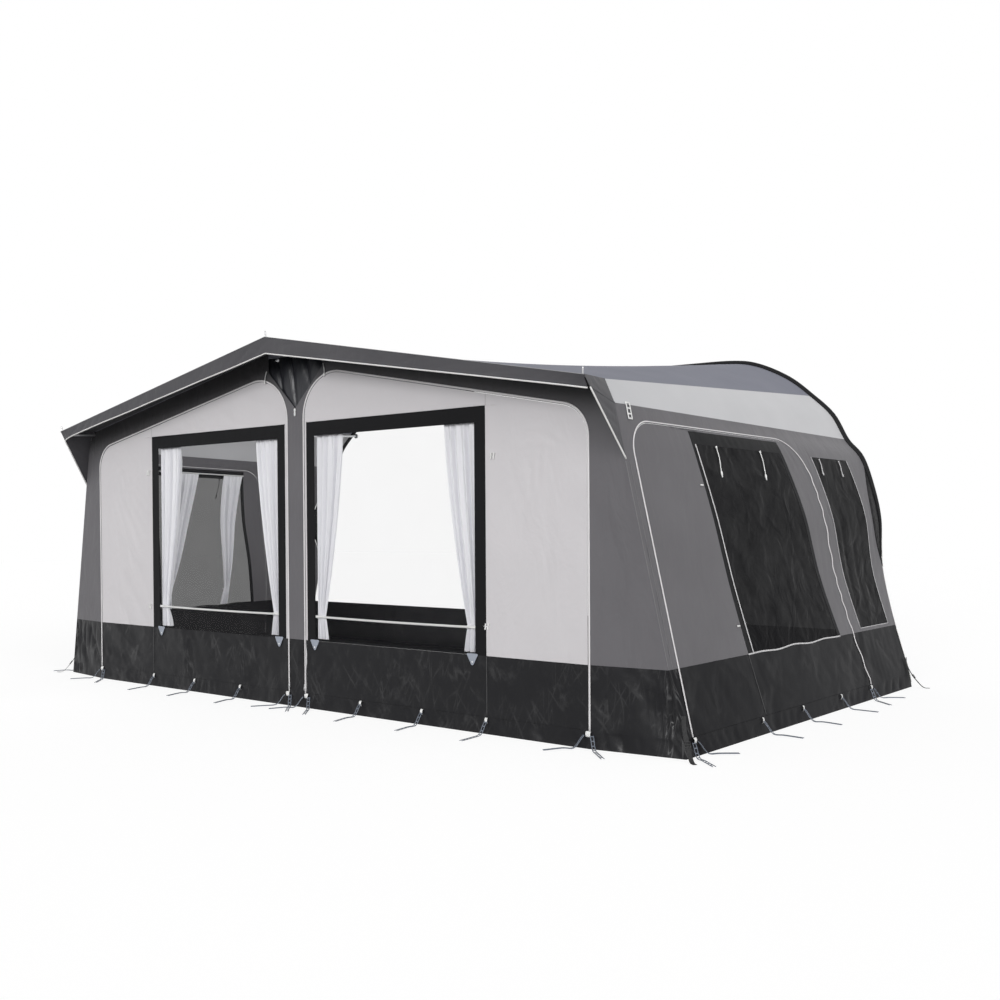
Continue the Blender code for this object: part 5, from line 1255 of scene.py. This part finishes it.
straps, buckles = [], []
for y, heading in ((RAIL_Y - STRAP_WIDE, (1, 0, 0)), (corner_y(0) + STRAP_WIDE, (1, -1, 0))):
    way = unit(np.array(heading, float))
    line = smooth_run(np.array([(0.000, 0.210), (0.006, 0.160), (0.035, 0.098), (0.080, 0.040),
                                (0.118, 0.006), (0.158, 0.004)]), 6)
    lean = side_at(points(y, 0.150)) * (1, 1, 0) + line[:, :1] * way + line[:, 1:] * UP
    proud = unit(np.cross(np.gradient(lean, axis=0), np.cross(UP, way)))
    proud *= np.sign(np.sum(proud * (way + UP), -1, keepdims=True))
    straps.append(carried(lean, proud, STRAP_WIDE, STRAP_THICK))
    off, ahead = proud[BUCKLE_AT], unit(lean[BUCKLE_AT + 1] - lean[BUCKLE_AT - 1])
    across, reach = np.cross(off, ahead), np.linspace(-BUCKLE_HALF, BUCKLE_HALF, 5)[:, None]
    bars = [ahead * k + reach * across for k in (-0.014, 0.0, 0.014)]
    bars += [across * k + reach * ahead for k in (-BUCKLE_HALF, BUCKLE_HALF)]
    buckles += [carried(lean[BUCKLE_AT] + bar + off * 0.002, off, BUCKLE_BAR, sides=8) for bar in bars]
pair("corner_straps_", straps, webbing, "webbing")
pair("strap_buckles_", buckles, buckle_black, "black_plastic")


# Zip sliders: a small metal body, waisted in the middle, that rides on each inner zip of the
# front, with a flat drop pull that hangs before it.
t = shares(16)
for _, name in SIDES:
    low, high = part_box("zip_slider_" + name)
    middle, tall = (low + high) / 2, high.z - low.z
    shell = carried(points(middle.x, middle.y, low.z + tall * t), FORWARD, high.x - low.x, high.y - low.y,
                    14, 0.62 + 0.38 * np.abs(2 * t - 1) ** 0.6)
    pull = points(middle.x + 0.002 * np.sin(3 * t), low.y - 0.0015 - 0.003 * hump(t),
                  low.z + tall * 0.6 - 0.030 * t)
    tab = carried(pull, FORWARD, 0.008, 0.0016, 10, np.interp(t, (0, 0.3, 0.9, 1), (0.5, 0.6, 1, 0.8)))
    piece("zip_slider_body_" + name, [shell, tab], steel, "white_plastic", "zip_slider_" + name,
          body="zip_slider_" + name)


# Frame: drawn aluminium tubes with fine lines along their length, telescoping in each other and
# clamped by black twist collars; a moulded bracket carries the ridge and gable poles at the apex.
ACROSS, ALONG = 300.0, 5.0


def drawn_tube(name, colour, lines):
    """Drawn aluminium: noise pulled out along the tube, in its tone and its polish."""
    made, add, shader = material(name)
    pulled = add("VectorMath", add("TexCoord").outputs["Object"], lines, operation="MULTIPLY")
    grain = add("TexNoise", {"Vector": pulled, "Scale": 1.0, "Detail": 4.0})
    tone = add("Mix", {0: grain, 6: colour, 7: np.multiply(colour, 0.8)}, data_type="RGBA")
    polish = add("MapRange", {0: grain, 3: 0.26, 4: 0.46})
    fed(shader, {"Base Color": tone, "Roughness": polish, "Metallic": 1.0})
    return made


upright_tube = drawn_tube("upright_aluminium", (0.62, 0.63, 0.64), (ACROSS, ACROSS, ALONG))
roof_tube = drawn_tube("roof_pole_aluminium", (0.60, 0.61, 0.62), (ACROSS, ALONG, ACROSS))
gable_tube = drawn_tube("gable_aluminium", (0.60, 0.61, 0.62), (ALONG, ACROSS, ACROSS))
collar_black = moulded("collar_black", (0.022, 0.022, 0.023), 0.45, grain=400.0)
for label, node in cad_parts.items():
    if node.hide_render:
        continue
    finish = (collar_black if label.endswith("collar") or label == "apex_bracket" else
              upright_tube if "upright" in label else gable_tube if "gable" in label else roof_tube)
    node.data.materials.clear()
    node.data.materials.append(finish)
